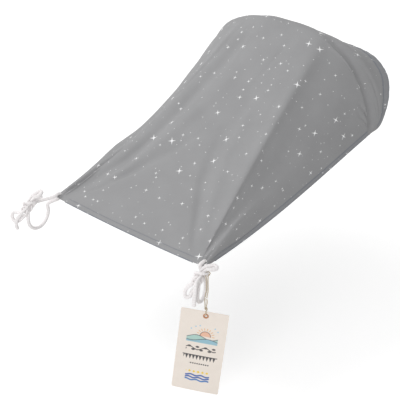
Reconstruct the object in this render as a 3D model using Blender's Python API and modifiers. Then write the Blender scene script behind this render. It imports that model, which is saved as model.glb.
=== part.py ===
"""Sun shade for a pram, tied to the handlebar and drawn over the hood's front rim.

Metres, +Z up. The origin is on the handlebar's axis, midway between the two ties. +X runs along the
bar to the right tie and +Y runs from the bar to the hood.
"""
import math

import bmesh
import bpy
import numpy as np
from mathutils import Matrix, Vector

MM = 0.001
GAP = 0.0003  # left between pieces that touch

# What the shade is fastened to
HANDLEBAR_RADIUS = 0.023
RIM_HALF_WIDTH = 0.228
RIM_HEIGHT = 0.249
RIM_ROUNDNESS = 2.47
RIM_DISTANCE = 0.557
RIM_BASE = 0.048
RIM_LEAN = 0.07
RIM_END_ANGLE = 9.0
RIM_BEND = 0.016

# The cloth
LEFT_CORNER = (-0.200, 0.0465, 0.0245)
RIGHT_CORNER = (0.200, 0.019, 0.032)
CLOTH_THICKNESS = 0.0008
CORNER_WIDTH = 0.016
CORNER_ARCH = 0.0025
FRONT_SAG = 0.004
SIDE_SAG = 0.013
SIDE_SAG_FALL = 1.5
MIDDLE_SAG = 0.012
SHOULDER_ANGLE = 70.0  # where the fold from each corner meets the rim, up from its end
WRAP_DEPTH = 0.072
WRAP_DROP = 0.072
WRAP_SPREAD = 0.028
WRAP_FULLNESS = 0.32
WRAP_END = 0.012
CORNER_COLUMNS_LEFT = (1.0, 0.69, 0.46, 0.29, 0.15, 0.06, 0.0)  # shares of the way out to the side hem
CORNER_COLUMNS_RIGHT = (0.0, 0.05, 0.10, 0.16, 0.25, 0.38, 0.55, 0.75, 1.0)
PANEL_COLUMNS = (-0.93, -0.78, -0.62, -0.46, -0.28, -0.08, 0.14, 0.35, 0.53, 0.69, 0.82, 0.93)
PANEL_ROWS = (0.06, 0.12, 0.19, 0.27, 0.36, 0.45, 0.54, 0.63, 0.72, 0.81, 0.90, 0.965, 1.0)
WRAP_ROWS = (0.08, 0.30, 0.65)  # shares of the way from the rim to the casing

# Main folds, named for where they show. Each follows a route of (along, across) places on the cloth,
# with its half width across at both ends and its height; a hollow's height is negative.
FOLDS = {
    "right ridge": (((0.03, 0.285), (0.97, 0.275)), (0.020, 0.050), 0.0090),
    "right hollow": (((0.08, 0.360), (0.96, 0.420)), (0.055, 0.095), -0.0130),
    "right corner ridge": (((0.02, 0.540), (0.55, 0.480)), (0.080, 0.090), 0.0040),
    "right hem hollow": (((0.02, 0.840), (0.60, 0.800)), (0.100, 0.130), -0.0040),
    "centre hollow": (
        ((0.02, 0.250), (0.17, 0.180), (0.29, 0.120), (0.60, 0.030)), (0.010, 0.035), -0.0040),
    "centre ridge": (
        ((0.04, 0.275), (0.22, 0.210), (0.40, 0.150), (0.90, 0.060)), (0.012, 0.050), 0.0035),
    "left hollow": (
        ((0.02, -0.280), (0.24, -0.225), (0.60, -0.215), (0.94, -0.200)), (0.012, 0.045), -0.0065),
    "left ridge": (
        ((0.04, -0.265), (0.21, -0.200), (0.47, -0.140), (0.90, -0.080)), (0.012, 0.050), 0.0040),
    "left low hollow": (
        ((0.03, -0.275), (0.14, -0.230), (0.25, -0.150), (0.55, 0.000)), (0.010, 0.035), -0.0035),
    "left shoulder crease": (((0.55, -0.370), (0.99, -0.380)), (0.026, 0.030), 0.0040),
    "left side hang": (((0.0, -0.420), (1.0, -0.420)), (0.300, 0.260), -0.0310),
    "left upper hang": (((0.36, -0.740), (0.99, -0.690)), (0.180, 0.150), -0.0200),
}

# Hems, casing and elastic
HEM_WIDTH = 0.011
HEM_THICKNESS = 0.0007
CASING_WIDTH = 0.016
CASING_GAP = 0.00085
ELASTIC_WIDTH = 0.008
ELASTIC_THICKNESS = 0.0010

# Ties
CORD_RADIUS = 0.0037
KNOT_CORD_RADIUS = 0.0025
HOLE_CORD_RADIUS = 0.0027
HOLE_RADIUS = 0.0035
HOLE_SETBACK = 0.011
KNOT_CENTRE_HEIGHT = 0.0137
LEFT_KNOT = (-0.215, 34.0)  # place along the bar, angle forward of the bar's top
RIGHT_KNOT = (0.2235, 24.4)

# Tag
STRING_RADIUS = 0.0011
STRING_END_RADIUS = 0.0004
KNOT_STRING_RADIUS = 0.00085
STRING_COIL = 0.00235
STRING_SPREAD = 0.0021
STRING_SPACING = 0.0022
STRING_PLACE = 0.2445
STRING_DROP = 0.0232
CARD_WIDTH = 0.092
CARD_HEIGHT = 0.187
CARD_THICKNESS = 0.0010
CARD_CORNER = 0.003
CARD_YAW = 30.0
CARD_TILT = -6.4
EYELET_DROP = 0.0168
EYELET_INSET = 0.0106
EYELET_OFFSET = 0.0022
EYELET_BORE = 0.0025
EYELET_BARREL = 0.0031
EYELET_FLANGE = 0.0055
EYELET_LIP = 0.0007


def clear_scene():
    for obj in list(bpy.data.objects):
        bpy.data.objects.remove(obj, do_unlink=True)


def make_collection(name):
    made = bpy.data.collections.new(name)
    bpy.context.scene.collection.children.link(made)
    return made


def make_material(name, colour, roughness, metallic=0.0):
    made = bpy.data.materials.new(name)
    made.use_nodes = True
    shader = made.node_tree.nodes["Principled BSDF"]
    shader.inputs["Base Color"].default_value = (*colour, 1.0)
    shader.inputs["Roughness"].default_value = roughness
    shader.inputs["Metallic"].default_value = metallic
    return made


clear_scene()
SHADE = make_collection("pram_sun_shade")
CUTTERS = make_collection("cutters")
COTTON = make_material("grey_cotton", (0.30, 0.31, 0.32), 0.85)
HEM_COTTON = make_material("hem_cotton", (0.26, 0.28, 0.31), 0.85)
ELASTIC = make_material("white_elastic", (0.75, 0.75, 0.73), 0.8)
CORD = make_material("white_cord", (0.83, 0.82, 0.82), 0.9)
TWINE = make_material("cream_twine", (0.80, 0.72, 0.58), 0.9)
CARD = make_material("cream_card", (0.84, 0.79, 0.74), 0.7)
COPPER = make_material("copper", (0.72, 0.42, 0.28), 0.35, 1.0)


def finish_object(obj, material, smooth_angle=None):
    """Gives the object its material and collection, and shades it smooth."""
    obj.data.materials.append(material)
    if obj.name not in SHADE.objects:
        SHADE.objects.link(obj)
    if smooth_angle is not None:
        obj.data.shade_smooth()
        obj.data.set_sharp_from_angle(angle=math.radians(smooth_angle))
    return obj


# The cloth's surface. u runs across it from -1 at the left side to 1, and v along it: 0 at the front
# edge, 1 at the hood's rim, 2 at the rear edge.

def rim_point(angle):
    """Points of the hood's rim, which the cloth bends over, by angle up from its right end."""
    cosine, sine = np.cos(angle), np.sin(angle)
    power = 2.0 / RIM_ROUNDNESS
    across = RIM_HALF_WIDTH * np.sign(cosine) * np.abs(cosine) ** power
    up = RIM_HEIGHT * np.abs(sine) ** power
    return np.stack([across, RIM_DISTANCE + RIM_LEAN * up, RIM_BASE + up], -1)


RIM_ANGLES = np.radians(np.linspace(180.0 - RIM_END_ANGLE, RIM_END_ANGLE, 400))
RIM_STEPS = np.linalg.norm(np.diff(rim_point(RIM_ANGLES), axis=0), axis=1)
RIM_SHARES = np.concatenate([[0.0], np.cumsum(RIM_STEPS)]) / RIM_STEPS.sum() * 2.0 - 1.0
SHOULDER = float(np.interp(math.radians(SHOULDER_ANGLE), RIM_ANGLES[::-1], RIM_SHARES[::-1]))


def front_point(u):
    """Points of the front edge: a hem between the corners, then each corner's gathered mouth."""
    left, right = np.array(LEFT_CORNER), np.array(RIGHT_CORNER)
    along = np.clip(u / SHOULDER, -1.0, 1.0)
    share = (along + 1.0)[..., None] / 2.0
    inner = np.array([CORNER_WIDTH / 2.0, 0.0, 0.0])
    point = (left + inner) * (1.0 - share) + (right - inner) * share
    point[..., 2] -= FRONT_SAG * (1.0 - along ** 2)
    mouth = np.clip((np.abs(u) - SHOULDER) / (1.0 - SHOULDER), 0.0, 1.0)
    point[..., 0] += np.sign(u) * CORNER_WIDTH * mouth
    point[..., 2] += CORNER_ARCH * np.sin(math.pi * mouth)
    return point


def fold_height(u, v):
    """How far the main folds stand out of the taut cloth."""
    height = np.zeros_like(u)
    for route, widths, tall in FOLDS.values():
        along, across = np.array(route).T
        share = np.clip((v - along[0]) / (along[-1] - along[0]), 0.0, 1.0)
        width = widths[0] + (widths[1] - widths[0]) * share
        away = (u - np.interp(v, along, across)) / width
        height += tall * np.sin(math.pi * share) * np.exp(-(away ** 2))
    return height


def taut_point(u, v):
    """Points between the front edge and the rim, v from 0 to 1."""
    angle = np.interp(u, RIM_SHARES, RIM_ANGLES)
    share = v[..., None]
    point = front_point(u) * (1.0 - share) + rim_point(angle) * share
    flank = np.clip((np.abs(u) - SHOULDER) / (1.0 - SHOULDER), 0.0, 1.0)
    peak = 1.0 / (1.0 + SIDE_SAG_FALL)
    hang = v * (1.0 - v) ** SIDE_SAG_FALL / (peak * (1.0 - peak) ** SIDE_SAG_FALL)
    point[..., 2] -= SIDE_SAG * flank * hang
    middle = np.clip(1.0 - (u / SHOULDER) ** 2, 0.0, 1.0)
    point[..., 2] -= MIDDLE_SAG * middle ** 2 * 4.0 * v * (1.0 - v)
    point[..., 2] += fold_height(u, v)
    return point


def wrap_vector(u):
    """From the rim to the rear edge, for each place across."""
    angle = np.interp(u, RIM_SHARES, RIM_ANGLES)
    share = (90.0 - np.abs(90.0 - np.degrees(angle)) - RIM_END_ANGLE) / (90.0 - RIM_END_ANGLE)
    share = np.clip(share, 0.0, 1.0)
    depth = WRAP_END + (WRAP_DEPTH - WRAP_END) * np.sin(share * math.pi / 2.0) ** WRAP_FULLNESS
    spread = np.sign(u) * WRAP_SPREAD * np.sin(math.pi * share)
    return np.stack([spread, depth, -WRAP_DROP * share ** 2], -1)


def shade_point(u, v):
    """Points of the whole cloth. It rounds the rim on a short bend."""
    u, v = np.broadcast_arrays(np.asarray(u, float), np.asarray(v, float))
    rim = rim_point(np.interp(u, RIM_SHARES, RIM_ANGLES))
    wrap = wrap_vector(u)
    run = np.linalg.norm(rim - front_point(u), axis=-1)
    reach = np.linalg.norm(wrap, axis=-1)
    before = np.minimum(RIM_BEND, 0.5 * reach) / run
    after = np.minimum(RIM_BEND, 0.5 * reach) / reach
    taut = taut_point(u, np.clip(v, 0.0, 1.0))
    wrapped = rim + wrap * np.clip(v - 1.0, 0.0, 1.0)[..., None]
    point = np.where((v <= 1.0)[..., None], taut, wrapped)
    turn = (v - (1.0 - before)) / (before + after)
    bending = (turn > 0.0) & (turn < 1.0)
    turn = np.clip(turn, 0.0, 1.0)[..., None]
    start = taut_point(u, 1.0 - before)
    end = rim + wrap * after[..., None]
    bend = (1.0 - turn) ** 2 * start + 2.0 * turn * (1.0 - turn) * rim + turn ** 2 * end
    return np.where(bending[..., None], bend, point)


def shade_normal(u, v):
    """Unit normals of the cloth, out of its upper side."""
    step = 1e-3
    across = shade_point(np.clip(u + step, -1, 1), v) - shade_point(np.clip(u - step, -1, 1), v)
    along = shade_point(u, np.clip(v + step, 0, 2)) - shade_point(u, np.clip(v - step, 0, 2))
    normal = np.cross(across, along)
    return normal / np.linalg.norm(normal, axis=-1, keepdims=True)


def across_per_u(side, v):
    """Metres across the cloth for each unit of u, at a side edge."""
    step = 1e-3
    ends = shade_point(np.array([side, side * (1.0 - step)]), np.array([v, v]))
    return float(np.linalg.norm(ends[0] - ends[1]) / step)


def hem_line(side, v):
    """u of a side hem's inner edge."""
    return 1.0 - min(HEM_WIDTH / across_per_u(side, v), 0.8 * (1.0 - SHOULDER))


def casing_line(u):
    """v of the casing's inner edge. The casing is narrower where the wrap is short."""
    length = float(np.linalg.norm(wrap_vector(np.array([u]))[0]))
    return 2.0 - min(CASING_WIDTH / length, 0.45)


def cloth_columns(v):
    """u of the cloth's columns at that v. The hems' edges are two of them."""
    left, right = hem_line(-1.0, v), hem_line(1.0, v)
    columns = [-1.0] + [-SHOULDER - share * (left - SHOULDER) for share in CORNER_COLUMNS_LEFT]
    columns += [share * SHOULDER for share in PANEL_COLUMNS]
    return columns + [SHOULDER + share * (right - SHOULDER) for share in CORNER_COLUMNS_RIGHT] + [1.0]


def cloth_lattice():
    """(u, v) of every crossing of the cloth's rows and columns. The front hem and the casing end on rows."""
    lattice = []
    for v in (0.0, HEM_WIDTH / RIM_DISTANCE) + PANEL_ROWS:
        lattice.append([(u, v) for u in cloth_columns(v)])
    for share in WRAP_ROWS + (1.0,):
        lattice.append([(u, 1.0 + share * (casing_line(u) - 1.0)) for u in cloth_columns(1.0)])
    lattice.append([(u, 2.0) for u in cloth_columns(1.0)])
    return lattice


def sunk_points(lattice, sunk):
    """The lattice's places on the cloth, sunk below its middle layer."""
    places = np.array(lattice, float)
    u, v = places[..., 0], places[..., 1]
    return shade_point(u, v) - sunk * shade_normal(u, v)


def make_sheet(name, points, thickness, material):
    """A closed thin sheet through rows of points."""
    rows, columns = len(points) - 1, len(points[0]) - 1
    mesh = bpy.data.meshes.new(name)
    grid = bmesh.new()
    bmesh.ops.create_grid(grid, x_segments=columns, y_segments=rows, size=0.5)
    for vertex in grid.verts:
        row, column = round((vertex.co.y + 0.5) * rows), round((vertex.co.x + 0.5) * columns)
        vertex.co = points[row][column]
    grid.to_mesh(mesh)
    grid.free()
    obj = bpy.data.objects.new(name, mesh)
    solid = obj.modifiers.new("thickness", "SOLIDIFY")
    solid.thickness = thickness
    solid.offset = 0.0
    return finish_object(obj, material, 50)


def cut_hole(cloth, corner):
    """The hole that the tie passes through, HOLE_SETBACK behind the corner's edge."""
    centre, inward, normal = corner_frame(corner)
    mesh = bpy.data.meshes.new("hole_cutter")
    drill = bmesh.new()
    bmesh.ops.create_cone(drill, cap_ends=True, segments=12, radius1=HOLE_RADIUS, radius2=HOLE_RADIUS,
                          depth=0.02)
    drill.to_mesh(mesh)
    drill.free()
    cutter = bpy.data.objects.new("hole_cutter", mesh)
    CUTTERS.objects.link(cutter)
    turned = Vector(normal).to_track_quat("Z", "Y").to_matrix().to_4x4()
    cutter.matrix_world = Matrix.Translation(centre) @ turned
    cutter.hide_render = True
    cutter.display_type = "WIRE"
    cut = cloth.modifiers.new("tie_hole", "BOOLEAN")
    cut.object = cutter
    cut.operation = "DIFFERENCE"


def corner_frame(corner):
    """A tie hole's centre, the direction from the corner's edge to it, and the cloth's normal there."""
    u = np.array([corner * (1.0 + SHOULDER) / 2.0])
    edge = shade_point(u, np.array([0.0]))[0]
    share = HOLE_SETBACK / RIM_DISTANCE
    centre = shade_point(u, np.array([share]))[0]
    inward = (centre - edge) / np.linalg.norm(centre - edge)
    normal = shade_normal(u, np.array([share]))[0]
    return centre, inward, normal


def make_cloth():
    points = sunk_points(cloth_lattice(), 0.0)
    cloth = make_sheet("shade_cloth", points, CLOTH_THICKNESS, COTTON)
    for corner in (-1, 1):
        cut_hole(cloth, corner)
    return cloth


def make_hems():
    """Turned-in hems under the front and side edges. They keep clear of the tied corners."""
    points = sunk_points(cloth_lattice(), CLOTH_THICKNESS / 2.0 + GAP + HEM_THICKNESS / 2.0)
    first = 1 + len(CORNER_COLUMNS_LEFT)
    sides = slice(2, len(PANEL_ROWS) + 1)
    make_sheet("front_hem", points[:2, first:first + len(PANEL_COLUMNS)], HEM_THICKNESS, HEM_COTTON)
    make_sheet("left_hem", points[sides, :2], HEM_THICKNESS, HEM_COTTON)
    make_sheet("right_hem", points[sides, -2:], HEM_THICKNESS, HEM_COTTON)


def make_casing():
    """The rear edge's tunnel and the flat elastic inside it."""
    rear = [row[1:-1] for row in cloth_lattice()[-2:]]
    sunk = CLOTH_THICKNESS / 2.0 + CASING_GAP + ELASTIC_THICKNESS / 2.0
    inner, outer = sunk_points(rear, sunk)
    inset = (CASING_WIDTH - ELASTIC_WIDTH) / 2.0 / CASING_WIDTH
    elastic = [inner + (outer - inner) * share for share in (inset, 1.0 - inset)]
    make_sheet("rear_elastic", elastic, ELASTIC_THICKNESS, ELASTIC)
    sunk += ELASTIC_THICKNESS / 2.0 + CASING_GAP + HEM_THICKNESS / 2.0
    make_sheet("rear_casing", sunk_points(rear, sunk), HEM_THICKNESS, HEM_COTTON)


def smooth_line(route, spacing):
    """Even points of a smooth curve through the route's points (centripetal Catmull-Rom)."""
    points = np.array(route, float)
    points = np.vstack([2.0 * points[0] - points[1], points, 2.0 * points[-1] - points[-2]])
    fine = []
    for p0, p1, p2, p3 in zip(points, points[1:], points[2:], points[3:]):
        t1 = np.linalg.norm(p1 - p0) ** 0.5
        t2 = t1 + np.linalg.norm(p2 - p1) ** 0.5
        t3 = t2 + np.linalg.norm(p3 - p2) ** 0.5
        t = np.linspace(t1, t2, 24, endpoint=False)[:, None]
        a1 = (t1 - t) / t1 * p0 + t / t1 * p1
        a2 = (t2 - t) / (t2 - t1) * p1 + (t - t1) / (t2 - t1) * p2
        a3 = (t3 - t) / (t3 - t2) * p2 + (t - t2) / (t3 - t2) * p3
        b1 = (t2 - t) / t2 * a1 + t / t2 * a2
        b2 = (t3 - t) / (t3 - t1) * a2 + (t - t1) / (t3 - t1) * a3
        fine.extend((t2 - t) / (t2 - t1) * b1 + (t - t1) / (t2 - t1) * b2)
    fine = np.vstack([fine, points[-2]])
    travelled = np.concatenate([[0.0], np.cumsum(np.linalg.norm(np.diff(fine, axis=0), axis=1))])
    marks = np.linspace(0.0, travelled[-1], max(2, int(round(travelled[-1] / spacing)) + 1))
    return np.stack([np.interp(marks, travelled, fine[:, axis]) for axis in range(3)], -1)


def make_tube(name, points, radii, material, sides=2):
    """A round tube along the points, with a radius for each."""
    curve = bpy.data.curves.new(name, "CURVE")
    curve.dimensions = "3D"
    curve.bevel_depth = float(np.max(radii))
    curve.bevel_resolution = sides
    curve.use_fill_caps = True
    spline = curve.splines.new("POLY")
    spline.points.add(len(points) - 1)
    for place, point, radius in zip(spline.points, points, radii):
        place.co = (*point, 1.0)
        place.radius = float(radius / curve.bevel_depth)
    obj = bpy.data.objects.new(name, curve)
    SHADE.objects.link(obj)
    curve.materials.append(material)
    return obj


# The ties. Each is one cord: its middle runs through the corner's hole, and its ends meet in a bow.
# Knot points are millimetres along the bar, down its front and out from its surface.

HALF_KNOT_RADIUS = 3.0
HALF_KNOT_HEIGHT = 5.9
HALF_KNOT_LENGTH = 20.0


def half_knot(start_angle, turn, upward):
    """One strand of the first half knot: a full turn round the other strand."""
    places = []
    for step in range(9):
        share = step / 8.0
        angle = math.radians(start_angle + turn * 360.0 * share)
        down = (share - 0.5) * HALF_KNOT_LENGTH * (-1.0 if upward else 1.0)
        places.append((HALF_KNOT_RADIUS * math.cos(angle), down,
                       HALF_KNOT_HEIGHT + HALF_KNOT_RADIUS * math.sin(angle)))
    return places


# From the tail, in through the outer layer, round the upper loop, back out and down into the half knot
OUTER_STRAND_UP = ((2.9, 9, 20), (2.9, 0, 20), (2.9, -8, 20))
OUTER_STRAND_DOWN = (
    (-2.9, -8, 20), (-2.9, 0, 20), (-3.1, 5, 20), (-6.2, 9.5, 19.8), (-8.9, 12.5, 14.5), (-6.8, 13.4, 8.6))
# Out of the half knot, over the front as the band, and under the outer layer
BAND = (
    (6.8, -13.2, 8.6), (9.1, -12, 14.5), (9.0, -7, 20.4), (7.6, -4, 24.2), (3.8, -1.4, 26.0),
    (-3.4, 0, 26.0), (-7.4, 0.6, 24.3), (-9.1, 1.4, 20.2), (-7.8, 4.4, 14.6), (-3.2, 8.8, 13.4),
    (-3.0, 15, 13.8))
INNER_STRAND = ((3.0, 15.5, 10.4), (2.6, 9, 13.9), (0.6, 0, 14.3), (-0.6, -9.5, 14.3))


class Tie:
    """One tie's own shape: where its knot sits, and the way its loops, tails and standing parts lie."""

    def __init__(self, name, knot, corner, tail, upper_loop, lower_loop, short_tail, over, under):
        self.name = name
        self.place, self.angle = knot
        self.corner = corner
        self.tail = tail
        self.upper_loop = upper_loop
        self.lower_loop = lower_loop
        self.short_tail = short_tail
        self.over = over
        self.under = under

    def knot_point(self, along, down, out):
        angle = math.radians(self.angle)
        outward = np.array([0.0, -math.sin(angle), math.cos(angle)])
        downward = np.array([0.0, -math.cos(angle), -math.sin(angle)])
        base = np.array([self.place, 0.0, 0.0]) + outward * HANDLEBAR_RADIUS
        return base + np.array([along * MM, 0.0, 0.0]) + downward * down * MM + outward * out * MM

    def bar_point(self, along, angle, out):
        """A point near the bar: angle in degrees forward from its top, out in millimetres."""
        reach = HANDLEBAR_RADIUS + out * MM
        turn = math.radians(angle)
        return np.array([self.place + along * MM, -reach * math.sin(turn), reach * math.cos(turn)])

    def corner_point(self, inward, out, along=0.0):
        """A point near the corner's hole, in millimetres from the cloth's edge."""
        centre, into, normal = corner_frame(self.corner)
        edge = centre - into * HOLE_SETBACK
        return edge + into * inward * MM + normal * out * MM + np.array([along * MM, 0.0, 0.0])

    def route(self):
        outer = self.tail + OUTER_STRAND_UP + self.upper_loop + OUTER_STRAND_DOWN
        knot = [self.knot_point(*p) for p in outer]
        first = [self.knot_point(*p) for p in reversed(half_knot(180.0, -1.0, False))]
        over = [self.bar_point(*p) for p in self.over]
        hole = [self.corner_point(*p) for p in ((-6, 5.6), (2, 5.4), (8.0, 4.0), (11, 0), (8.0, -4.0),
                                                (2, -5.4))]
        under = [self.bar_point(*p) for p in self.under]
        second = [self.knot_point(*p) for p in half_knot(0.0, 1.0, True)]
        rest = BAND + self.lower_loop + INNER_STRAND + self.short_tail
        return knot + first + over + hole + under + second + [self.knot_point(*p) for p in rest]

    def radius_at(self, points):
        """The cord is pinched in the knot and in the corner's hole."""
        knot = self.knot_point(0, 0, KNOT_CENTRE_HEIGHT / MM)
        hole = corner_frame(self.corner)[0]
        from_knot = np.linalg.norm(points - knot, axis=-1)
        from_hole = np.linalg.norm(points - hole, axis=-1)
        radius = np.interp(from_knot, (0.0165, 0.0225), (KNOT_CORD_RADIUS, CORD_RADIUS))
        return np.minimum(radius, np.interp(from_hole, (0.004, 0.012), (HOLE_CORD_RADIUS, CORD_RADIUS)))

    def line(self):
        """Points along the cord, close together where it is knotted."""
        fine = smooth_line(self.route(), 0.0005)
        knot = self.knot_point(0, 0, KNOT_CENTRE_HEIGHT / MM)
        hole = corner_frame(self.corner)[0]
        near = np.minimum(np.linalg.norm(fine - knot, axis=-1) - 0.018,
                          np.linalg.norm(fine - hole, axis=-1) - 0.010)
        spacing = np.interp(near, (0.0, 0.012), (0.0028, 0.0065))
        steps = np.concatenate([[0.0], np.cumsum(0.0005 / spacing[1:])])
        marks = np.linspace(0.0, steps[-1], int(round(steps[-1])) + 1)
        return np.stack([np.interp(marks, steps, fine[:, axis]) for axis in range(3)], -1)

    def make(self):
        points = self.line()
        fine = smooth_line(self.route(), 0.001)
        length = np.linalg.norm(np.diff(fine, axis=0), axis=1).sum()
        gap = least_self_gap(fine, self.radius_at(fine), 0.012)
        print(f"{self.name}: {length * 1000:.0f} mm long, least gap to itself {gap * 1000:.2f} mm")
        return make_tube(self.name, points, self.radius_at(points), CORD)


def least_self_gap(points, radii, apart):
    """The least gap between two stretches of a tube that lie at least that far apart along it."""
    travelled = np.concatenate([[0.0], np.cumsum(np.linalg.norm(np.diff(points, axis=0), axis=1))])
    least = math.inf
    for index in range(len(points)):
        others = travelled > travelled[index] + apart
        if others.any():
            gaps = np.linalg.norm(points[others] - points[index], axis=-1) - radii[others] - radii[index]
            least = min(least, float(gaps.min()))
    return least


LEFT_TIE = Tie(
    "left_tie_cord", LEFT_KNOT, -1,
    tail=((-14, 45, -14), (-14, 42.5, -4.5), (-12, 36.5, 5.2), (-7, 31.5, 13), (-2, 25.5, 18.5),
          (1.4, 17, 20.6)),
    upper_loop=((4.6, -17, 20.4), (11.4, -28, 19.6), (12.4, -35, 19), (7.4, -37.4, 19), (2.6, -31, 20),
                (-3.0, -18, 20.6)),
    lower_loop=((-7.6, 21, 15), (-17, 22, 13.5), (-28, 24.5, 9), (-31, 31, 2), (-24, 35.5, -3),
                (-14.5, 32, -3.6), (-5.2, 25.8, 3.8)),
    short_tail=((-0.2, -18, 11.6), (3.2, -25.5, 8.2), (7, -33, 5.5)),
    over=((-2.4, 8, 8.6), (0, -18, 7.4)),
    under=((5, -62, 9.5), (5.5, -88, 5.2), (5.5, -115, 4.1), (5, -145, 4.1), (4.5, -175, 4.1), (4, -205, 4.1),
           (3.6, -235, 4.1), (3.2, -262, 4.3), (3.0, -283, 5.4)),
)
RIGHT_TIE = Tie(
    "right_tie_cord", RIGHT_KNOT, 1,
    tail=((4.2, 42, -22), (5.2, 39, -12), (6.4, 34, -1), (6.4, 27, 10.5), (4.4, 17, 19.2)),
    upper_loop=((6.4, -17.5, 20), (15.4, -25.5, 15), (17, -31, 13.4), (10.4, -33.8, 15), (2.8, -26.4, 18),
                (-2.4, -17, 20.4)),
    lower_loop=((-5.6, 21.5, 14.6), (-11.4, 28, 11), (-13.6, 36, 5), (-10, 42, -1), (-4.2, 38, -2.6),
                (-1.8, 29, 3.0)),
    short_tail=((-1.4, -17, 11.8), (-5, -24, 9.5), (-10, -30, 8)),
    over=((-6, 2, 8.2), (-17, -18, 8.6)),
    under=((-24, -60, 6.6), (-22, -88, 4.2), (-18, -115, 4.1), (-13, -145, 4.1), (-8, -175, 4.1),
           (-3.5, -205, 4.1), (0, -235, 4.1), (2.4, -264, 4.1), (3.0, -290, 5.0)),
)


# The tag. Its string loops round the right tie beside the knot, runs over the bar's front and hangs.
# The string is split where it swings and where it turns.

def round_the_tie():
    """The string's upper part: round the tie's band and forward over the bar."""
    lies = (STRING_RADIUS + GAP) / MM
    side = (STRING_PLACE - RIGHT_TIE.place) / MM
    band = RIGHT_TIE.knot_point(*BAND[1])
    reach = KNOT_CORD_RADIUS + STRING_RADIUS + 4.0 * GAP
    loop = []
    for angle in (100, 155, 210, 265, 320, 375, 395):
        turn = math.radians(angle)
        loop.append(band + RIGHT_TIE.knot_point(reach * math.cos(turn) / MM, reach * math.sin(turn) / MM, 0)
                    - RIGHT_TIE.knot_point(0, 0, 0))
    first = [RIGHT_TIE.bar_point(side - STRING_SPREAD / MM, angle, lies) for angle in (89.2, 74, 60)]
    last = [RIGHT_TIE.bar_point(side + STRING_SPREAD / MM, angle, lies) for angle in (60, 74, 89.2)]
    return first + loop + last


def hanging_string():
    """Down from the bar, once and a half round itself as a knot, and up again. Zero is the bar's level."""
    knot = Vector((0.0, 0.0, -STRING_DROP))
    spread = STRING_SPREAD
    right = [(spread, 0, -0.4 * MM), (spread + 0.6 * MM, 0, -8 * MM), (spread * 0.9, 0, -14 * MM)]
    centre = [knot + Vector(p) * MM for p in ((0.4, 0, 4.2), (0, 0, 1.0), (0.1, 0, -2.0), (0.9, 0, -4.0),
                                              (2.2, 0.5, -3.6))]
    coil = []
    for step in range(11):
        angle = math.radians(40.0 + 50.0 * step)
        coil.append(knot + Vector((STRING_COIL * math.cos(angle), STRING_COIL * math.sin(angle),
                                   (-2.0 + 0.32 * step) * MM)))
    left = [knot + Vector((-2.3 * MM, 0, 3.9 * MM)), (-spread, 0, -14 * MM),
            (-spread - 0.6 * MM, 0, -8 * MM), (-spread, 0, -0.4 * MM)]
    return right + centre + coil + left


def eyelet_loop():
    """Through the eyelet, in millimetres out from the card's face and up from the eyelet's centre."""
    front = ((1.2, EYELET_DROP / MM - 4.9), (1.8, 9.0), (2.9, 6.4), (2.9, 4.4), (2.7, 2.5), (2.3, 1.65),
             (1.5, 1.2), (0, 1.05))
    places = list(front) + [(-out, up) for out, up in reversed(front[:-1])]
    return [(0.0, -out * MM, up * MM) for out, up in places]


def make_string(name, route, origin, pinched):
    """A length of the string, drawn in at its ends and in the given spans: height, half span, radius."""
    points = smooth_line(route, 0.0005)
    travelled = np.concatenate([[0.0], np.cumsum(np.linalg.norm(np.diff(points, axis=0), axis=1))])
    from_end = np.minimum(travelled, travelled[-1] - travelled)
    radii = np.interp(from_end, (0.0, 0.0014), (STRING_END_RADIUS, STRING_RADIUS))
    for height, half_span, radius in pinched:
        away = np.abs(points[:, 2] - height)
        radii = np.minimum(radii, np.interp(away, (half_span, half_span + 0.0015), (radius, STRING_RADIUS)))
    gap = least_self_gap(points[::2], radii[::2], 0.0045)
    print(f"{name}: {travelled[-1] * 1000:.0f} mm long, least gap to itself {gap * 1000:.2f} mm")
    keep = [0]
    for index in range(1, len(points)):
        wanted = STRING_SPACING if from_end[index] > 0.003 else 0.0007
        if travelled[index] - travelled[keep[-1]] >= wanted:
            keep.append(index)
    keep[-1] = len(points) - 1
    tube = make_tube(name, points[keep], radii[keep], TWINE)
    tube.matrix_world = Matrix.Translation(origin)
    return tube


def make_eyelet(frame):
    """A rolled ring with a flange on each face of the card."""
    face = CARD_THICKNESS / 2.0 + GAP
    rim = face + EYELET_LIP
    upper = ((EYELET_BORE, face), (EYELET_BORE + 0.0004, rim), (EYELET_FLANGE - 0.0005, rim),
             (EYELET_FLANGE, rim - 0.0003), (EYELET_FLANGE, face), (EYELET_BARREL, face))
    profile = upper + tuple((reach, -out) for reach, out in reversed(upper))
    mesh = bpy.data.meshes.new("tag_eyelet")
    ring = bmesh.new()
    corners = [ring.verts.new((reach, 0.0, out)) for reach, out in profile]
    for start, end in zip(corners, corners[1:] + corners[:1]):
        ring.edges.new((start, end))
    ring.to_mesh(mesh)
    ring.free()
    obj = bpy.data.objects.new("tag_eyelet", mesh)
    turned = obj.modifiers.new("turned", "SCREW")
    turned.axis = "Z"
    turned.steps = 28
    turned.render_steps = 28
    turned.use_merge_vertices = True
    turned.merge_threshold = 0.00001
    turned.use_normal_calculate = True
    obj.matrix_world = frame
    return finish_object(obj, COPPER, 40)


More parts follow.
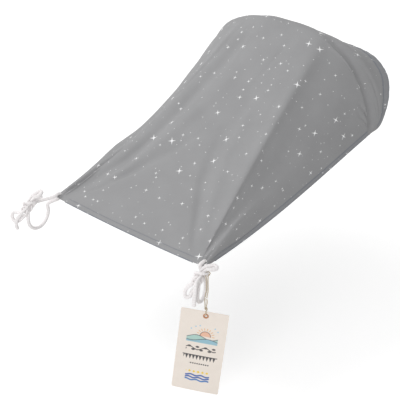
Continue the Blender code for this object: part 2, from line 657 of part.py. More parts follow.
def make_card(frame):
    """The card, with a hole for the eyelet. Its local Z is its face's normal and its local Y points up."""
    mesh = bpy.data.meshes.new("tag_card")
    card = bmesh.new()
    bmesh.ops.create_cube(card, size=1.0)
    for vertex in card.verts:
        vertex.co.x = vertex.co.x * CARD_WIDTH - EYELET_OFFSET
        vertex.co.y = vertex.co.y * CARD_HEIGHT - CARD_HEIGHT / 2.0 + EYELET_INSET
        vertex.co.z *= CARD_THICKNESS
    upright = [edge for edge in card.edges
               if abs(edge.verts[0].co.z - edge.verts[1].co.z) > CARD_THICKNESS / 2.0]
    bmesh.ops.bevel(card, geom=upright, offset=CARD_CORNER, segments=3, affect="EDGES", profile=0.5)
    card.to_mesh(mesh)
    card.free()
    obj = bpy.data.objects.new("tag_card", mesh)
    obj.matrix_world = frame
    hole = bpy.data.meshes.new("eyelet_cutter")
    drill = bmesh.new()
    bmesh.ops.create_cone(drill, cap_ends=True, segments=28, radius1=EYELET_BARREL + GAP,
                          radius2=EYELET_BARREL + GAP, depth=4.0 * CARD_THICKNESS)
    drill.to_mesh(hole)
    drill.free()
    cutter = bpy.data.objects.new("eyelet_cutter", hole)
    CUTTERS.objects.link(cutter)
    cutter.matrix_world = frame
    cutter.hide_render = True
    cutter.display_type = "WIRE"
    cut = obj.modifiers.new("eyelet_hole", "BOOLEAN")
    cut.object = cutter
    cut.operation = "DIFFERENCE"
    return finish_object(obj, CARD)


def make_tag():
    """The string, the card and its eyelet, hanging before the bar."""
    swing = Vector((STRING_PLACE, -(HANDLEBAR_RADIUS + STRING_RADIUS + GAP), 0.0))
    knot = swing - Vector((0.0, 0.0, STRING_DROP))
    eye = knot - Vector((0.0, 0.0, EYELET_DROP))
    make_string("tag_string", round_the_tie(), (0.0, 0.0, 0.0), ())
    make_string("tag_string_drop", hanging_string(), swing, ((-STRING_DROP, 0.0036, KNOT_STRING_RADIUS),))
    turned = Matrix.Rotation(math.radians(CARD_YAW), 3, "Z")
    loop = [turned @ Vector(place) + eye - knot for place in eyelet_loop()]
    make_string("tag_string_loop", loop, knot, ((-EYELET_DROP, 0.0036, KNOT_STRING_RADIUS),))
    upright = Matrix(((1.0, 0.0, 0.0), (0.0, 0.0, -1.0), (0.0, 1.0, 0.0)))
    tilted = Matrix.Rotation(math.radians(CARD_TILT), 3, "Z")
    frame = Matrix.Translation(eye) @ (turned @ upright @ tilted).to_4x4()
    make_card(frame)
    make_eyelet(frame)


def main():
    make_cloth()
    make_hems()
    make_casing()
    LEFT_TIE.make()
    RIGHT_TIE.make()
    make_tag()


main()
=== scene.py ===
"""Sun shade for a pram, tied to the handlebar and drawn over the hood's front rim.

Metres, +Z up. The origin is on the handlebar's axis, midway between the two ties. +X runs along the
bar to the right tie and +Y runs from the bar to the hood.
"""
import math

import bmesh
import bpy
import numpy as np
from mathutils import Matrix, Vector


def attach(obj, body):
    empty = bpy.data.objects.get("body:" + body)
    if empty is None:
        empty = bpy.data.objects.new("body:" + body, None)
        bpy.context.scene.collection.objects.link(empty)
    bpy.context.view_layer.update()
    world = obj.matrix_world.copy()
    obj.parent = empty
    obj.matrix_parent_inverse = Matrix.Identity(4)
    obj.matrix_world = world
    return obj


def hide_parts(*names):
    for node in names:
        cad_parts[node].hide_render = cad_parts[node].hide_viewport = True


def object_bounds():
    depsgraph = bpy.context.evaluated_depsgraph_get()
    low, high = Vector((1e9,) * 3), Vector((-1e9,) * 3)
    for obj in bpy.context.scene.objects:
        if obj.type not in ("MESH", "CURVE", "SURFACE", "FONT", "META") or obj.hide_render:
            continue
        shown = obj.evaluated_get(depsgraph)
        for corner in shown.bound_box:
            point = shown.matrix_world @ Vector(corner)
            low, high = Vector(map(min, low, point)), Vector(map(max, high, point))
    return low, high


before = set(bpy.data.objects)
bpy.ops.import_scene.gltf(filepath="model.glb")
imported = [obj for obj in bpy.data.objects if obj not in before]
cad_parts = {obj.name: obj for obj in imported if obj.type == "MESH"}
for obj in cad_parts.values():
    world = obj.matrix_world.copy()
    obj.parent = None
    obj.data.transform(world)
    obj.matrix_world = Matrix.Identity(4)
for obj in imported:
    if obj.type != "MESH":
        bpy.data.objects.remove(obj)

CAD_BOX = [[float(value) for value in corner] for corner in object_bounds()]

bl_info = {
    "name": "Pram sun shade",
    "version": (1, 0, 0),
    "blender": (4, 5, 0),
    "location": "View3D > Sidebar > Sun shade",
    "description": "Builds a tied sun shade for a pram, with its hems, bows and swing tag",
    "category": "Add Mesh",
}

MM = 0.001
GAP = 0.0003

# What the shade is fastened to
HANDLEBAR_RADIUS = 0.023
RIM_HALF_WIDTH = 0.228
RIM_HEIGHT = 0.249
RIM_ROUNDNESS = 2.47
RIM_DISTANCE = 0.557
RIM_BASE = 0.048
RIM_LEAN = 0.07
RIM_END_ANGLE = 9.0
RIM_BEND = 0.016

# The cloth
LEFT_CORNER = (-0.200, 0.0465, 0.0245)
RIGHT_CORNER = (0.200, 0.019, 0.032)
CORNER_WIDTH = 0.016
CORNER_ARCH = 0.0025
FRONT_SAG = 0.004
SIDE_SAG = 0.013
SIDE_SAG_FALL = 1.5
MIDDLE_SAG = 0.012
SHOULDER_ANGLE = 70.0  # where the fold from each corner meets the rim, up from its end
WRAP_DEPTH = 0.072
WRAP_DROP = 0.072
WRAP_SPREAD = 0.028
WRAP_FULLNESS = 0.32
WRAP_END = 0.012
HEM_WIDTH = 0.011
HEM_SPREAD = 0.25
HEM_SPREAD_REACH = 0.35  # in v, as is the next
HEM_GATHER_REACH = 0.068
HEM_GATHERED = 0.35  # of its width, at the tie
HEM_PUFF = 0.0006
STITCH_PULL = 0.0009
CASING_WIDTH = 0.016
FOLD_RADIUS = 0.0007  # of a hem's turned edge, to the middle of the cloth
CASING_RADIUS = 0.0013
VISIBLE_THICKNESS = 0.0005
ELASTIC_VISIBLE_THICKNESS = 0.0009
THREAD_PITCH = 0.00042
STITCH_RADIUS = 0.00028
STITCH_SHARE = 0.90  # of a hem's width, where its stitches lie
CASING_STITCH_SHARE = 0.93

# Main folds: a route of (v, u) places, the half width in u at both ends, the height in metres, and where it
# isn't one, the share of the width on the side of greater u
FOLDS = {
    "right ridge": (((0.03, 0.285), (0.97, 0.275)), (0.020, 0.050), 0.0090),
    "right hollow": (((0.05, 0.370), (0.15, 0.400), (0.28, 0.480), (0.50, 0.500), (0.97, 0.470)),
                     (0.090, 0.150), -0.0125, 2.1),
    "right corner ridge": (((0.035, 0.735), (0.08, 0.690), (0.15, 0.635), (0.25, 0.605), (0.36, 0.600)),
                           (0.170, 0.070), 0.0065, 0.7),
    "right hem wedge": (((0.03, 0.760), (0.05, 0.790), (0.08, 0.810), (0.15, 0.835), (0.20, 0.850),
                         (0.34, 0.880)), (0.110, 0.070), -0.0046, 0.6),
    "right hem hollow": (((0.02, 0.840), (0.60, 0.800)), (0.100, 0.130), -0.0040),
    "centre hollow": (((0.02, 0.250), (0.17, 0.180), (0.29, 0.120), (0.60, 0.030)),
                      (0.010, 0.035), -0.0040),
    "centre ridge": (((0.04, 0.275), (0.22, 0.210), (0.40, 0.150), (0.90, 0.060)),
                     (0.012, 0.050), 0.0035),
    "left hollow": (((0.02, -0.280), (0.24, -0.225), (0.60, -0.215), (0.94, -0.200)),
                    (0.012, 0.045), -0.0065),
    "left ridge": (((0.04, -0.265), (0.21, -0.200), (0.47, -0.140), (0.90, -0.080)),
                   (0.012, 0.050), 0.0040),
    "left low hollow": (((0.03, -0.275), (0.14, -0.230), (0.25, -0.150), (0.55, 0.000)),
                        (0.010, 0.035), -0.0035),
    "left shoulder crease": (((0.55, -0.370), (0.99, -0.380)), (0.026, 0.030), 0.0040),
    "left side hang": (((0.0, -0.420), (1.0, -0.420)), (0.300, 0.260), -0.0310),
    "left upper hang": (((0.36, -0.740), (0.99, -0.690)), (0.180, 0.150), -0.0200),
}

# Lesser folds, in the same form, which start and end more suddenly
FINE_FOLDS = {
    "centre corner hollow": (((0.03, 0.255), (0.08, 0.225), (0.15, 0.195), (0.25, 0.155), (0.36, 0.115)),
                             (0.012, 0.022), -0.0028),
    "left corner hollow": (((0.02, -0.286), (0.15, -0.268), (0.28, -0.240), (0.42, -0.225)),
                           (0.016, 0.024), -0.0062),
    "left corner crease": (((0.03, -0.270), (0.12, -0.215), (0.25, -0.160), (0.36, -0.120)),
                           (0.010, 0.022), -0.0030),
    "left band": (((0.38, -0.235), (0.97, -0.215)), (0.035, 0.045), -0.0028),
    "left corner pleat": (((0.035, -0.520), (0.35, -0.450)), (0.050, 0.040), 0.0034),
    "left corner groove": (((0.035, -0.430), (0.35, -0.380)), (0.040, 0.034), -0.0034),
    "left hem pleat": (((0.035, -0.720), (0.30, -0.700)), (0.070, 0.070), -0.0030),
    "left shoulder line": (((0.60, -0.330), (0.99, -0.345)), (0.020, 0.026), 0.0038),
    "upper hollow": (((0.50, 0.470), (0.72, 0.410), (0.97, 0.370)), (0.110, 0.060), -0.0030, 1.8),
    "crown hollow": (((0.40, 0.100), (0.97, 0.085)), (0.040, 0.050), -0.0036),
}

# The crease where the cloth is drawn over the rim: places across it, and metres behind the rim there
RIM_CREASE = ((0.0, 0.014), (0.24, 0.014), (0.37, 0.008), (0.46, 0.008), (0.64, 0.006), (0.88, 0.006),
              (1.0, 0.007))
LEFT_RIM_SHARE = 0.4  # how deep it is on the left, against the right
RIM_VALLEY = (-0.0058, 0.0095, 0.0055)  # height, and spread before and behind
RIM_SWELL = (0.0028, 0.018, 0.011)  # height, place behind the valley, spread

# Small creases: both ends on the flat cloth in metres (across from the middle, along from the front), half
# width, height
TWIN_CREASES = (
    ((0.322, 0.580), (0.215, 0.632), 0.0050, -0.0022),
    ((0.322, 0.572), (0.168, 0.610), 0.0045, -0.0020),
    ((0.318, 0.566), (0.120, 0.592), 0.0050, 0.0016),
    ((0.326, 0.562), (0.262, 0.622), 0.0040, 0.0014),
    ((0.322, 0.549), (0.250, 0.536), 0.0050, -0.0030),
)
SINGLE_CREASES = (
    ((0.320, 0.541), (0.262, 0.519), 0.0048, -0.0022),
    ((0.030, 0.560), (0.015, 0.400), 0.0080, -0.0009),
    ((-0.070, 0.560), (-0.060, 0.430), 0.0080, 0.0009),
)
MIRRORED = tuple(((-x, y), (-end_x, end_y), *rest) for (x, y), (end_x, end_y), *rest in TWIN_CREASES)
CREASES = TWIN_CREASES + MIRRORED + SINGLE_CREASES

# Ties
CORD_RADIUS = 0.0037
KNOT_CORD_RADIUS = 0.0025
HOLE_CORD_RADIUS = 0.0027
HOLE_RADIUS = 0.0035
HOLE_SETBACK = 0.011
HOLE_CUT = 0.014
KNOT_CENTRE_HEIGHT = 0.0137
CORD_STEP = 0.0011  # between the rings of its mesh
BRAID_RELIEF = 0.07
LEFT_KNOT = (-0.215, 34.0)
RIGHT_KNOT = (0.2235, 24.4)

# Tag
STRING_RADIUS = 0.0011
STRING_END_RADIUS = 0.0004
KNOT_STRING_RADIUS = 0.00085
STRING_COIL = 0.00235
STRING_SPREAD = 0.0021
STRING_PLACE = 0.2445
STRING_DROP = 0.0232
STRING_STEP = 0.0004
TWIST_PITCH = 0.0052
TWIST_RELIEF = 0.22
CARD_WIDTH = 0.092
CARD_HEIGHT = 0.187
CARD_THICKNESS = 0.0010
CARD_VISIBLE_THICKNESS = 0.0009
CARD_CORNER = 0.003
CARD_BOW = (0.0022, 0.0011, 0.0009)  # out of flat at its low end: all over, to one side, and both sides back
CARD_BOW_START = 0.015
CARD_BOW_LENGTH = 0.155
CARD_BOW_SIDE = 0.043
CARD_YAW = 30.0
CARD_TILT = -6.4
EYELET_DROP = 0.0168
EYELET_INSET = 0.0106
EYELET_OFFSET = 0.0022
EYELET_BORE = 0.0025
EYELET_BARREL = 0.0031
EYELET_FLANGE = 0.0055
EYELET_LIP = 0.0007
EYELET_CUT = 0.006


def clip(value):
    """Held between nothing and one."""
    return np.clip(value, 0.0, 1.0)


def bell(value):
    """A smooth hump, one high at nothing."""
    return np.exp(-(value ** 2))


def length_of(vectors):
    return np.linalg.norm(vectors, axis=-1)


def unit(vectors):
    return vectors / length_of(vectors)[..., None]


def as_grids(u, v):
    """u and v as arrays of one shape."""
    return np.broadcast_arrays(np.asarray(u, float), np.asarray(v, float))


# The cloth's surface. u runs across it from -1 at the left side to 1, and v along it: 0 at the front
# edge, 1 at the hood's rim, 2 at the rear edge.

def rim_point(angle):
    """Points of the hood's rim, which the cloth bends over, by angle up from its right end."""
    cosine, sine = np.cos(angle), np.sin(angle)
    power = 2.0 / RIM_ROUNDNESS
    across = RIM_HALF_WIDTH * np.sign(cosine) * np.abs(cosine) ** power
    up = RIM_HEIGHT * np.abs(sine) ** power
    return np.stack([across, RIM_DISTANCE + RIM_LEAN * up, RIM_BASE + up], -1)


RIM_ANGLES = np.radians(np.linspace(180.0 - RIM_END_ANGLE, RIM_END_ANGLE, 400))
RIM_STEPS = length_of(np.diff(rim_point(RIM_ANGLES), axis=0))
RIM_LENGTH = float(RIM_STEPS.sum())
RIM_SHARES = np.concatenate([[0.0], np.cumsum(RIM_STEPS)]) / RIM_LENGTH * 2.0 - 1.0
SHOULDER = float(np.interp(math.radians(SHOULDER_ANGLE), RIM_ANGLES[::-1], RIM_SHARES[::-1]))


def rim_place(u):
    """Points of the hood's rim by place across the cloth."""
    return rim_point(np.interp(u, RIM_SHARES, RIM_ANGLES))


def flank_share(u):
    """How far out a place is from the shoulder's fold to the side edge."""
    return clip((np.abs(u) - SHOULDER) / (1.0 - SHOULDER))


def front_point(u):
    """Points of the front edge: a hem between the corners, then each corner's gathered mouth."""
    left, right = np.array(LEFT_CORNER), np.array(RIGHT_CORNER)
    along = np.clip(u / SHOULDER, -1.0, 1.0)
    share = (along + 1.0)[..., None] / 2.0
    inner = np.array([CORNER_WIDTH / 2.0, 0.0, 0.0])
    point = (left + inner) * (1.0 - share) + (right - inner) * share
    point[..., 2] -= FRONT_SAG * (1.0 - along ** 2)
    mouth = flank_share(u)
    point[..., 0] += np.sign(u) * CORNER_WIDTH * mouth
    point[..., 2] += CORNER_ARCH * np.sin(math.pi * mouth)
    return point


def fold_height(u, v, folds, ease=1.0):
    """How far the folds stand out of the taut cloth."""
    height = np.zeros_like(u)
    for route, widths, tall, *outer in folds.values():
        along, across = np.array(route).T
        share = clip((v - along[0]) / (along[-1] - along[0]))
        away = (u - np.interp(v, along, across)) / (widths[0] + (widths[1] - widths[0]) * share)
        if outer:
            away = np.where(away > 0.0, away / outer[0], away)
        height += tall * np.sin(math.pi * share) ** ease * bell(away)
    return height


def taut_point(u, v):
    """Points between the front edge and the rim, v from 0 to 1."""
    share = v[..., None]
    point = front_point(u) * (1.0 - share) + rim_place(u) * share
    flank = flank_share(u)
    peak = 1.0 / (1.0 + SIDE_SAG_FALL)
    hang = v * (1.0 - v) ** SIDE_SAG_FALL / (peak * (1.0 - peak) ** SIDE_SAG_FALL)
    point[..., 2] -= SIDE_SAG * flank * hang
    middle = clip(1.0 - (u / SHOULDER) ** 2)
    point[..., 2] -= MIDDLE_SAG * middle ** 2 * 4.0 * v * (1.0 - v)
    point[..., 2] += fold_height(u, v, FOLDS)
    return point


def wrap_vector(u):
    """From the rim to the rear edge, for each place across."""
    angle = np.interp(u, RIM_SHARES, RIM_ANGLES)
    share = (90.0 - np.abs(90.0 - np.degrees(angle)) - RIM_END_ANGLE) / (90.0 - RIM_END_ANGLE)
    share = clip(share)
    depth = WRAP_END + (WRAP_DEPTH - WRAP_END) * np.sin(share * math.pi / 2.0) ** WRAP_FULLNESS
    spread = np.sign(u) * WRAP_SPREAD * np.sin(math.pi * share)
    return np.stack([spread, depth, -WRAP_DROP * share ** 2], -1)


def wrap_length(u):
    """Metres from the rim to the rear edge."""
    return length_of(wrap_vector(u))


def plain_point(u, v):
    """Points of the whole cloth with its main folds. It rounds the rim on a short bend."""
    u, v = as_grids(u, v)
    rim = rim_place(u)
    wrap = wrap_vector(u)
    run = length_of(rim - front_point(u))
    reach = length_of(wrap)
    before = np.minimum(RIM_BEND, 0.5 * reach) / run
    after = np.minimum(RIM_BEND, 0.5 * reach) / reach
    taut = taut_point(u, clip(v))
    wrapped = rim + wrap * clip(v - 1.0)[..., None]
    point = np.where((v <= 1.0)[..., None], taut, wrapped)
    turn = (v - (1.0 - before)) / (before + after)
    bending = (turn > 0.0) & (turn < 1.0)
    turn = clip(turn)[..., None]
    start = taut_point(u, 1.0 - before)
    end = rim + wrap * after[..., None]
    bend = (1.0 - turn) ** 2 * start + 2.0 * turn * (1.0 - turn) * rim + turn ** 2 * end
    return np.where(bending[..., None], bend, point)


def plain_normal(u, v):
    """Unit normals of the cloth, out of its upper side."""
    step = 1e-3
    across = plain_point(np.clip(u + step, -1, 1), v) - plain_point(np.clip(u - step, -1, 1), v)
    along = plain_point(u, np.clip(v + step, 0, 2)) - plain_point(u, np.clip(v - step, 0, 2))
    return unit(np.cross(across, along))


def taut_length(u):
    """Metres from the front edge to the rim."""
    return length_of(rim_place(u) - front_point(u))


def flat_place(u, v):
    """Where a place lies on the cloth laid flat: metres across from its middle and along from its front."""
    u, v = as_grids(u, v)
    half, before = RIM_LENGTH / 2.0, clip(v)
    front = (RIGHT_CORNER[0] - LEFT_CORNER[0] - CORNER_WIDTH) / 2.0
    fold = front * (1.0 - before) + SHOULDER * half * before
    inside = clip(np.abs(u) / SHOULDER) * fold
    outside = flank_share(u) * (half - fold)
    reach = wrap_length(u)
    along = taut_length(u) * before + reach * clip(v - 1.0)
    return np.stack([np.sign(u) * (inside + outside), along, np.zeros_like(along)], -1)


def casing_line(u):
    """v of the casing's inner edge. The casing is narrower where the wrap is short."""
    length = wrap_length(u)
    return 2.0 - np.minimum(CASING_WIDTH / length, 0.45)


def side_rate(side, v):
    """Metres across the cloth for each unit of u, at a side edge."""
    step = 1e-3
    v = np.asarray(v, float)
    edge = plain_point(np.full(v.shape, side), v)
    inner = plain_point(np.full(v.shape, side * (1.0 - step)), v)
    return length_of(edge - inner) / step


RATE_PLACES = np.linspace(0.0, 1.0, 120)
SIDE_RATES = {side: side_rate(side, RATE_PLACES) for side in (-1.0, 1.0)}


def edge_rate(side, v):
    """The same, from the table."""
    return np.interp(clip(v), RATE_PLACES, SIDE_RATES[side])


def hem_width(v):
    """Metres across a side hem, which spreads a little towards the tied corner and is drawn in at the tie."""
    v = np.maximum(np.asarray(v, float), 0.0)
    gathered = 1.0 - np.exp(-((v / HEM_GATHER_REACH) ** 1.3))
    return HEM_WIDTH * (1.0 + HEM_SPREAD * bell(v / HEM_SPREAD_REACH)) * np.maximum(gathered, HEM_GATHERED)


def hem_line(side, v):
    """u, without its sign, of a side hem's inner edge."""
    return 1.0 - np.minimum(hem_width(v) / edge_rate(side, v), 0.8 * (1.0 - SHOULDER))


def crease_height(flat):
    """Small creases, as distances from lines on the flat cloth."""
    height = np.zeros(flat.shape[:-1])
    for start, end, width, tall in CREASES:
        start, end = np.array(start), np.array(end)
        run = end - start
        share = clip(((flat[..., :2] - start) @ run) / (run @ run))
        away = length_of(flat[..., :2] - start - share[..., None] * run)
        spread = width * (0.35 + 0.65 * share)
        height += tall * np.sin(math.pi * share) ** 0.8 * bell(away / spread)
    return height


def loose_height(u, v, flat):
    """The soft unevenness of worn cotton, pleats at the tied corners and gathers at the elastic."""
    x, y = flat[..., 0], flat[..., 1]
    height = 0.0007 * np.sin(x / 0.021 + 1.7 * np.sin(y / 0.047)) * np.sin(y / 0.055 + 0.8)
    height += 0.0005 * np.sin(x / 0.013 - y / 0.031 + 2.0) * np.sin(y / 0.024 + x / 0.06)
    height += 0.0009 * np.sin(x / 0.046 + y / 0.09 + 0.5)
    settle = clip(y / 0.03) * clip((0.31 - np.abs(x)) / 0.04)
    height *= settle
    fan = clip((np.abs(u) - SHOULDER * 0.55) / (1.0 - SHOULDER * 0.55))
    near = bell((y - 0.035) / 0.035) * clip(y / 0.012)
    height += 0.0010 * near * np.sin(fan * math.pi * 6.0) * clip(fan * 6.0)
    to_rear = (2.0 - v) * wrap_length(u)
    gather = np.where(v > 1.0, np.exp(-np.clip(to_rear - CASING_WIDTH, 0, None) / 0.016), 0.0)
    gather *= clip((0.97 - np.abs(u)) / 0.1)
    height += 0.0003 * gather * np.sin(x / 0.0030 + 1.3 * np.sin(x / 0.0173))
    return height


def rim_height(u, v):
    """The crease where the cloth is drawn over the rim: a gentle bank, then a short one and a swell."""
    across, behind = np.array(RIM_CREASE).T
    back = np.where(v > 1.0, (v - 1.0) * wrap_length(u), (v - 1.0) * taut_length(u))
    away = back - np.interp(np.abs(u), across, behind)
    side = clip((np.abs(u) - 0.15) / 0.20) * clip((1.0 - np.abs(u)) / 0.06)
    side = side * np.where(u < 0.0, LEFT_RIM_SHARE, 1.0)
    tall, before, after = RIM_VALLEY
    valley = tall * bell(away / np.where(away < 0.0, before, after))
    tall, place, spread = RIM_SWELL
    swell = tall * bell((away - place) / spread)
    return side * (valley + swell)


def hem_height(u, v):
    """The hems' slight thickness with the stitches' pull, and the painted seam shade: darker at stitch lines,
    turned edges and over the hems.
    """
    height = np.zeros(np.broadcast(u, v).shape)
    seam_shade = np.zeros_like(height)
    front = v * RIM_DISTANCE
    rear = (2.0 - v) * wrap_length(u)
    casing = (2.0 - casing_line(u)) * wrap_length(u)
    side = np.ones_like(height)
    for sign in (-1.0, 1.0):
        side = np.where(np.sign(u) == sign, (1.0 - np.abs(u)) * edge_rate(sign, v), side)
    # Each band: its share across the hem from its edge, where it lies, the strength of its painted shade at
    # the stitch line and the edge, and how much the hem itself is darkened
    bands = (
        (front / HEM_WIDTH, clip((SHOULDER * 0.93 - np.abs(u)) / 0.02) * (v < 0.5), 0.5, 0.05),
        (side / hem_width(v), clip((v - 0.03) / 0.04) * clip((1.0 - v) / 0.02), 1.0, 0.30),
        (rear / casing, clip((0.99 - np.abs(u)) / 0.02) * (v > 1.2), 1.0, 0.30),
    )
    for share, presence, line, body in bands:
        puff = np.sin(math.pi * clip(share)) ** 0.7 * (share < 1.0)
        pull = bell((share - 0.92) / 0.09)
        height += presence * (HEM_PUFF * puff - STITCH_PULL * pull)
        # Painted shade: dark in the pucker along the stitch line and at the turned edge
        stitch_and_edge_shade = np.maximum(line * pull, 0.8 * line * bell(share / 0.12))
        seam_shade = np.maximum(seam_shade, presence * np.maximum(stitch_and_edge_shade, body * (share < 0.92)))
    return height, seam_shade


def cloth_point(u, v, sunk=0.0):
    """Points of the finished cloth, sunk below its middle layer."""
    u, v = as_grids(u, v)
    flat = flat_place(u, v)
    lift = crease_height(flat) + loose_height(u, v, flat) + hem_height(u, v)[0]
    lift += rim_height(u, v) + fold_height(u, clip(v), FINE_FOLDS, 0.6)
    return plain_point(u, v) + (lift - sunk)[..., None] * plain_normal(u, v)


def corner_frame(corner):
    """A tie hole's centre, the direction from the corner's edge to it, and the cloth's normal there."""
    u = np.array([corner * (1.0 + SHOULDER) / 2.0])
    edge = plain_point(u, np.array([0.0]))[0]
    share = HOLE_SETBACK / RIM_DISTANCE
    centre = plain_point(u, np.array([share]))[0]
    return centre, unit(centre - edge), plain_normal(u, np.array([share]))[0]


# Building meshes

LAYER_KEYS = {"FLOAT": "value", "FLOAT_VECTOR": "vector", "FLOAT_COLOR": "color"}


def link_object(name, data):
    obj = bpy.data.objects.new(name, data)
    bpy.context.scene.collection.objects.link(obj)
    return obj


def new_piece(name, mesh, material, body, replaces=()):
    """Links a finished mesh as a piece that rides on a body and stands for the named nodes."""
    mesh.materials.append(material)
    obj = link_object(name, mesh)
    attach(obj, body)
    if replaces:
        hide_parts(*replaces)
    return obj


def mesh_from(name, points, faces):
    mesh = bpy.data.meshes.new(name)
    mesh.from_pydata([tuple(point) for point in points], [], faces)
    mesh.update()
    return mesh


def set_layer(mesh, name, kind, values):
    """Stores a value, vector or colour for each point under that name."""
    layer = mesh.attributes.new(name, kind, "POINT")
    layer.data.foreach_set(LAYER_KEYS[kind], np.ascontiguousarray(values, np.float32).ravel())


def thicken(obj, thickness):
    """Gives a sheet that thickness, half on each side."""
    solid = obj.modifiers.new("thickness", "SOLIDIFY")
    solid.thickness = thickness
    solid.offset = 0.0


def facing_along(place, direction):
    """The matrix of a thing at a place with its Z axis along a direction."""
    return Matrix.Translation(place) @ Vector(direction).to_track_quat("Z", "Y").to_matrix().to_4x4()


def drill_holes(obj, radius, depth, segments, places):
    """Cuts a round hole through the piece at each place, a matrix, and fixes the mesh its modifiers make."""
    cutters = []
    for place in places:
        mesh = bpy.data.meshes.new("hole_cutter")
        drill = bmesh.new()
        bmesh.ops.create_cone(drill, cap_ends=True, segments=segments, radius1=radius, radius2=radius,
                              depth=depth)
        drill.to_mesh(mesh)
        drill.free()
        cutter = link_object("hole_cutter", mesh)
        cutter.matrix_world = place
        cut = obj.modifiers.new("hole", "BOOLEAN")
        cut.object = cutter
        cut.operation = "DIFFERENCE"
        cutters.append(cutter)
    bpy.context.view_layer.update()
    graph = bpy.context.evaluated_depsgraph_get()
    made = bpy.data.meshes.new_from_object(obj.evaluated_get(graph), preserve_all_data_layers=True,
                                           depsgraph=graph)
    made.materials.clear()
    made.materials.append(obj.data.materials[0])
    obj.modifiers.clear()
    obj.data = made
    for cutter in cutters:
        bpy.data.objects.remove(cutter, do_unlink=True)


def sheet_faces(rows, columns):
    """Faces between rows of points."""
    index = np.arange(rows * columns).reshape(rows, columns)
    return np.stack([index[:-1, :-1], index[:-1, 1:], index[1:, 1:], index[1:, :-1]], -1).reshape(-1, 4)


def sheet_mesh(name, points):
    """A sheet through rows of points."""
    return mesh_from(name, points.reshape(-1, 3), sheet_faces(*points.shape[:2]).tolist())


def tube_faces(rings, around):
    """Faces of a closed tube through rings of points, with a cap at each end."""
    index = np.arange(rings * around).reshape(rings, around)
    after = np.roll(index, -1, axis=1)
    faces = np.stack([index[:-1], after[:-1], after[1:], index[1:]], -1).reshape(-1, 4).tolist()
    return faces + [index[0][::-1].tolist(), index[-1].tolist()]


def travelled_along(line):
    """Metres from the line's start to each of its points."""
    return np.concatenate([[0.0], np.cumsum(length_of(np.diff(line, axis=0)))])


def at_marks(marks, travelled, values):
    """The vectors at those distances along a line."""
    return np.stack([np.interp(marks, travelled, values[:, axis]) for axis in range(3)], -1)


def smooth_line(route, spacing):
    """Even points of a smooth curve through the route's points (centripetal Catmull-Rom)."""
    points = np.array(route, float)
    points = np.vstack([2.0 * points[0] - points[1], points, 2.0 * points[-1] - points[-2]])
    fine = []
    for p0, p1, p2, p3 in zip(points, points[1:], points[2:], points[3:]):
        t1 = np.linalg.norm(p1 - p0) ** 0.5
        t2 = t1 + np.linalg.norm(p2 - p1) ** 0.5
        t3 = t2 + np.linalg.norm(p3 - p2) ** 0.5
        t = np.linspace(t1, t2, 24, endpoint=False)[:, None]
        a1 = (t1 - t) / t1 * p0 + t / t1 * p1
        a2 = (t2 - t) / (t2 - t1) * p1 + (t - t1) / (t2 - t1) * p2
        a3 = (t3 - t) / (t3 - t2) * p2 + (t - t2) / (t3 - t2) * p3
        b1 = (t2 - t) / t2 * a1 + t / t2 * a2
        b2 = (t3 - t) / (t3 - t1) * a2 + (t - t1) / (t3 - t1) * a3
        fine.extend((t2 - t) / (t2 - t1) * b1 + (t - t1) / (t2 - t1) * b2)
    fine = np.vstack([fine, points[-2]])
    travelled = travelled_along(fine)
    marks = np.linspace(0.0, travelled[-1], max(2, int(round(travelled[-1] / spacing)) + 1))
    return at_marks(marks, travelled, fine)


def line_frames(line):
    """Two unit vectors across the line at each point, carried along it without twist."""
    ahead = unit(np.gradient(line, axis=0))
    first = np.cross(ahead[0], (0.0, 0.0, 1.0) if abs(ahead[0][2]) < 0.9 else (1.0, 0.0, 0.0))
    sides = [unit(first)]
    for direction in ahead[1:]:
        sides.append(unit(sides[-1] - direction * (sides[-1] @ direction)))
    sides = np.array(sides)
    return sides, np.cross(ahead, sides), ahead


def rope_mesh(name, line, radii, relief, around, end_domes=True):
    """A closed tube along the line. relief gives a share of the radius by the way along and the angle."""
    side, other, ahead = line_frames(line)
    travelled = travelled_along(line)
    angles = np.linspace(0.0, 2.0 * math.pi, around, endpoint=False)
    shape = relief(travelled[:, None], angles[None, :])
    reach = radii[:, None] * shape
    points = line[:, None] + reach[..., None] * (np.cos(angles)[None, :, None] * side[:, None]
                                                 + np.sin(angles)[None, :, None] * other[:, None])
    lay = np.stack([np.broadcast_to(travelled[:, None], reach.shape),
                    np.broadcast_to(angles[None, :] / (2.0 * math.pi), reach.shape), shape], -1)
    rings, lays = [points], [lay]
    domes = ((0.10, 0.93), (0.18, 0.72), (0.22, 0.38)) if end_domes else ((0.05, 0.6),)
    for out, share in domes:
        before = line[0] + (points[0] - line[0]) * share - ahead[0] * radii[0] * out
        after = line[-1] + (points[-1] - line[-1]) * share + ahead[-1] * radii[-1] * out
        rings = [before[None]] + rings + [after[None]]
        lays = [lay[:1]] + lays + [lay[-1:]]
    points, lay = np.concatenate(rings), np.concatenate(lays)
    mesh = mesh_from(name, points.reshape(-1, 3), tube_faces(len(points), around))
    set_layer(mesh, "lay", "FLOAT_VECTOR", lay)
    mesh.shade_smooth()
    return mesh


def braided(strands, pitch, depth):
    """Relief of a braid: strands run round both ways and pass over each other."""
    def relief(along, angle):
        right = strands * angle / 2.0 + math.pi * strands * along / pitch
        left = strands * angle / 2.0 - math.pi * strands * along / pitch
        return 1.0 - depth + depth * np.maximum(np.cos(right) ** 2 * np.sin(left) ** 2,
                                                np.sin(right) ** 2 * np.cos(left) ** 2) * 2.0
    return relief


def twisted(strands, pitch, depth):
    """Relief of a laid string: strands side by side, turning together."""
    def relief(along, angle):
        wave = np.abs(np.cos(strands * (angle / 2.0 + math.pi * along / pitch)))
        return 1.0 - depth + depth * wave ** 0.7
    return relief


# Materials

def rgba(colour, share=1.0):
    """A colour with its alpha, darkened by that share."""
    return (*(share * value for value in colour[:3]), 1.0)


def new_material(name):
    return Nodes(bpy.data.materials.new(name))


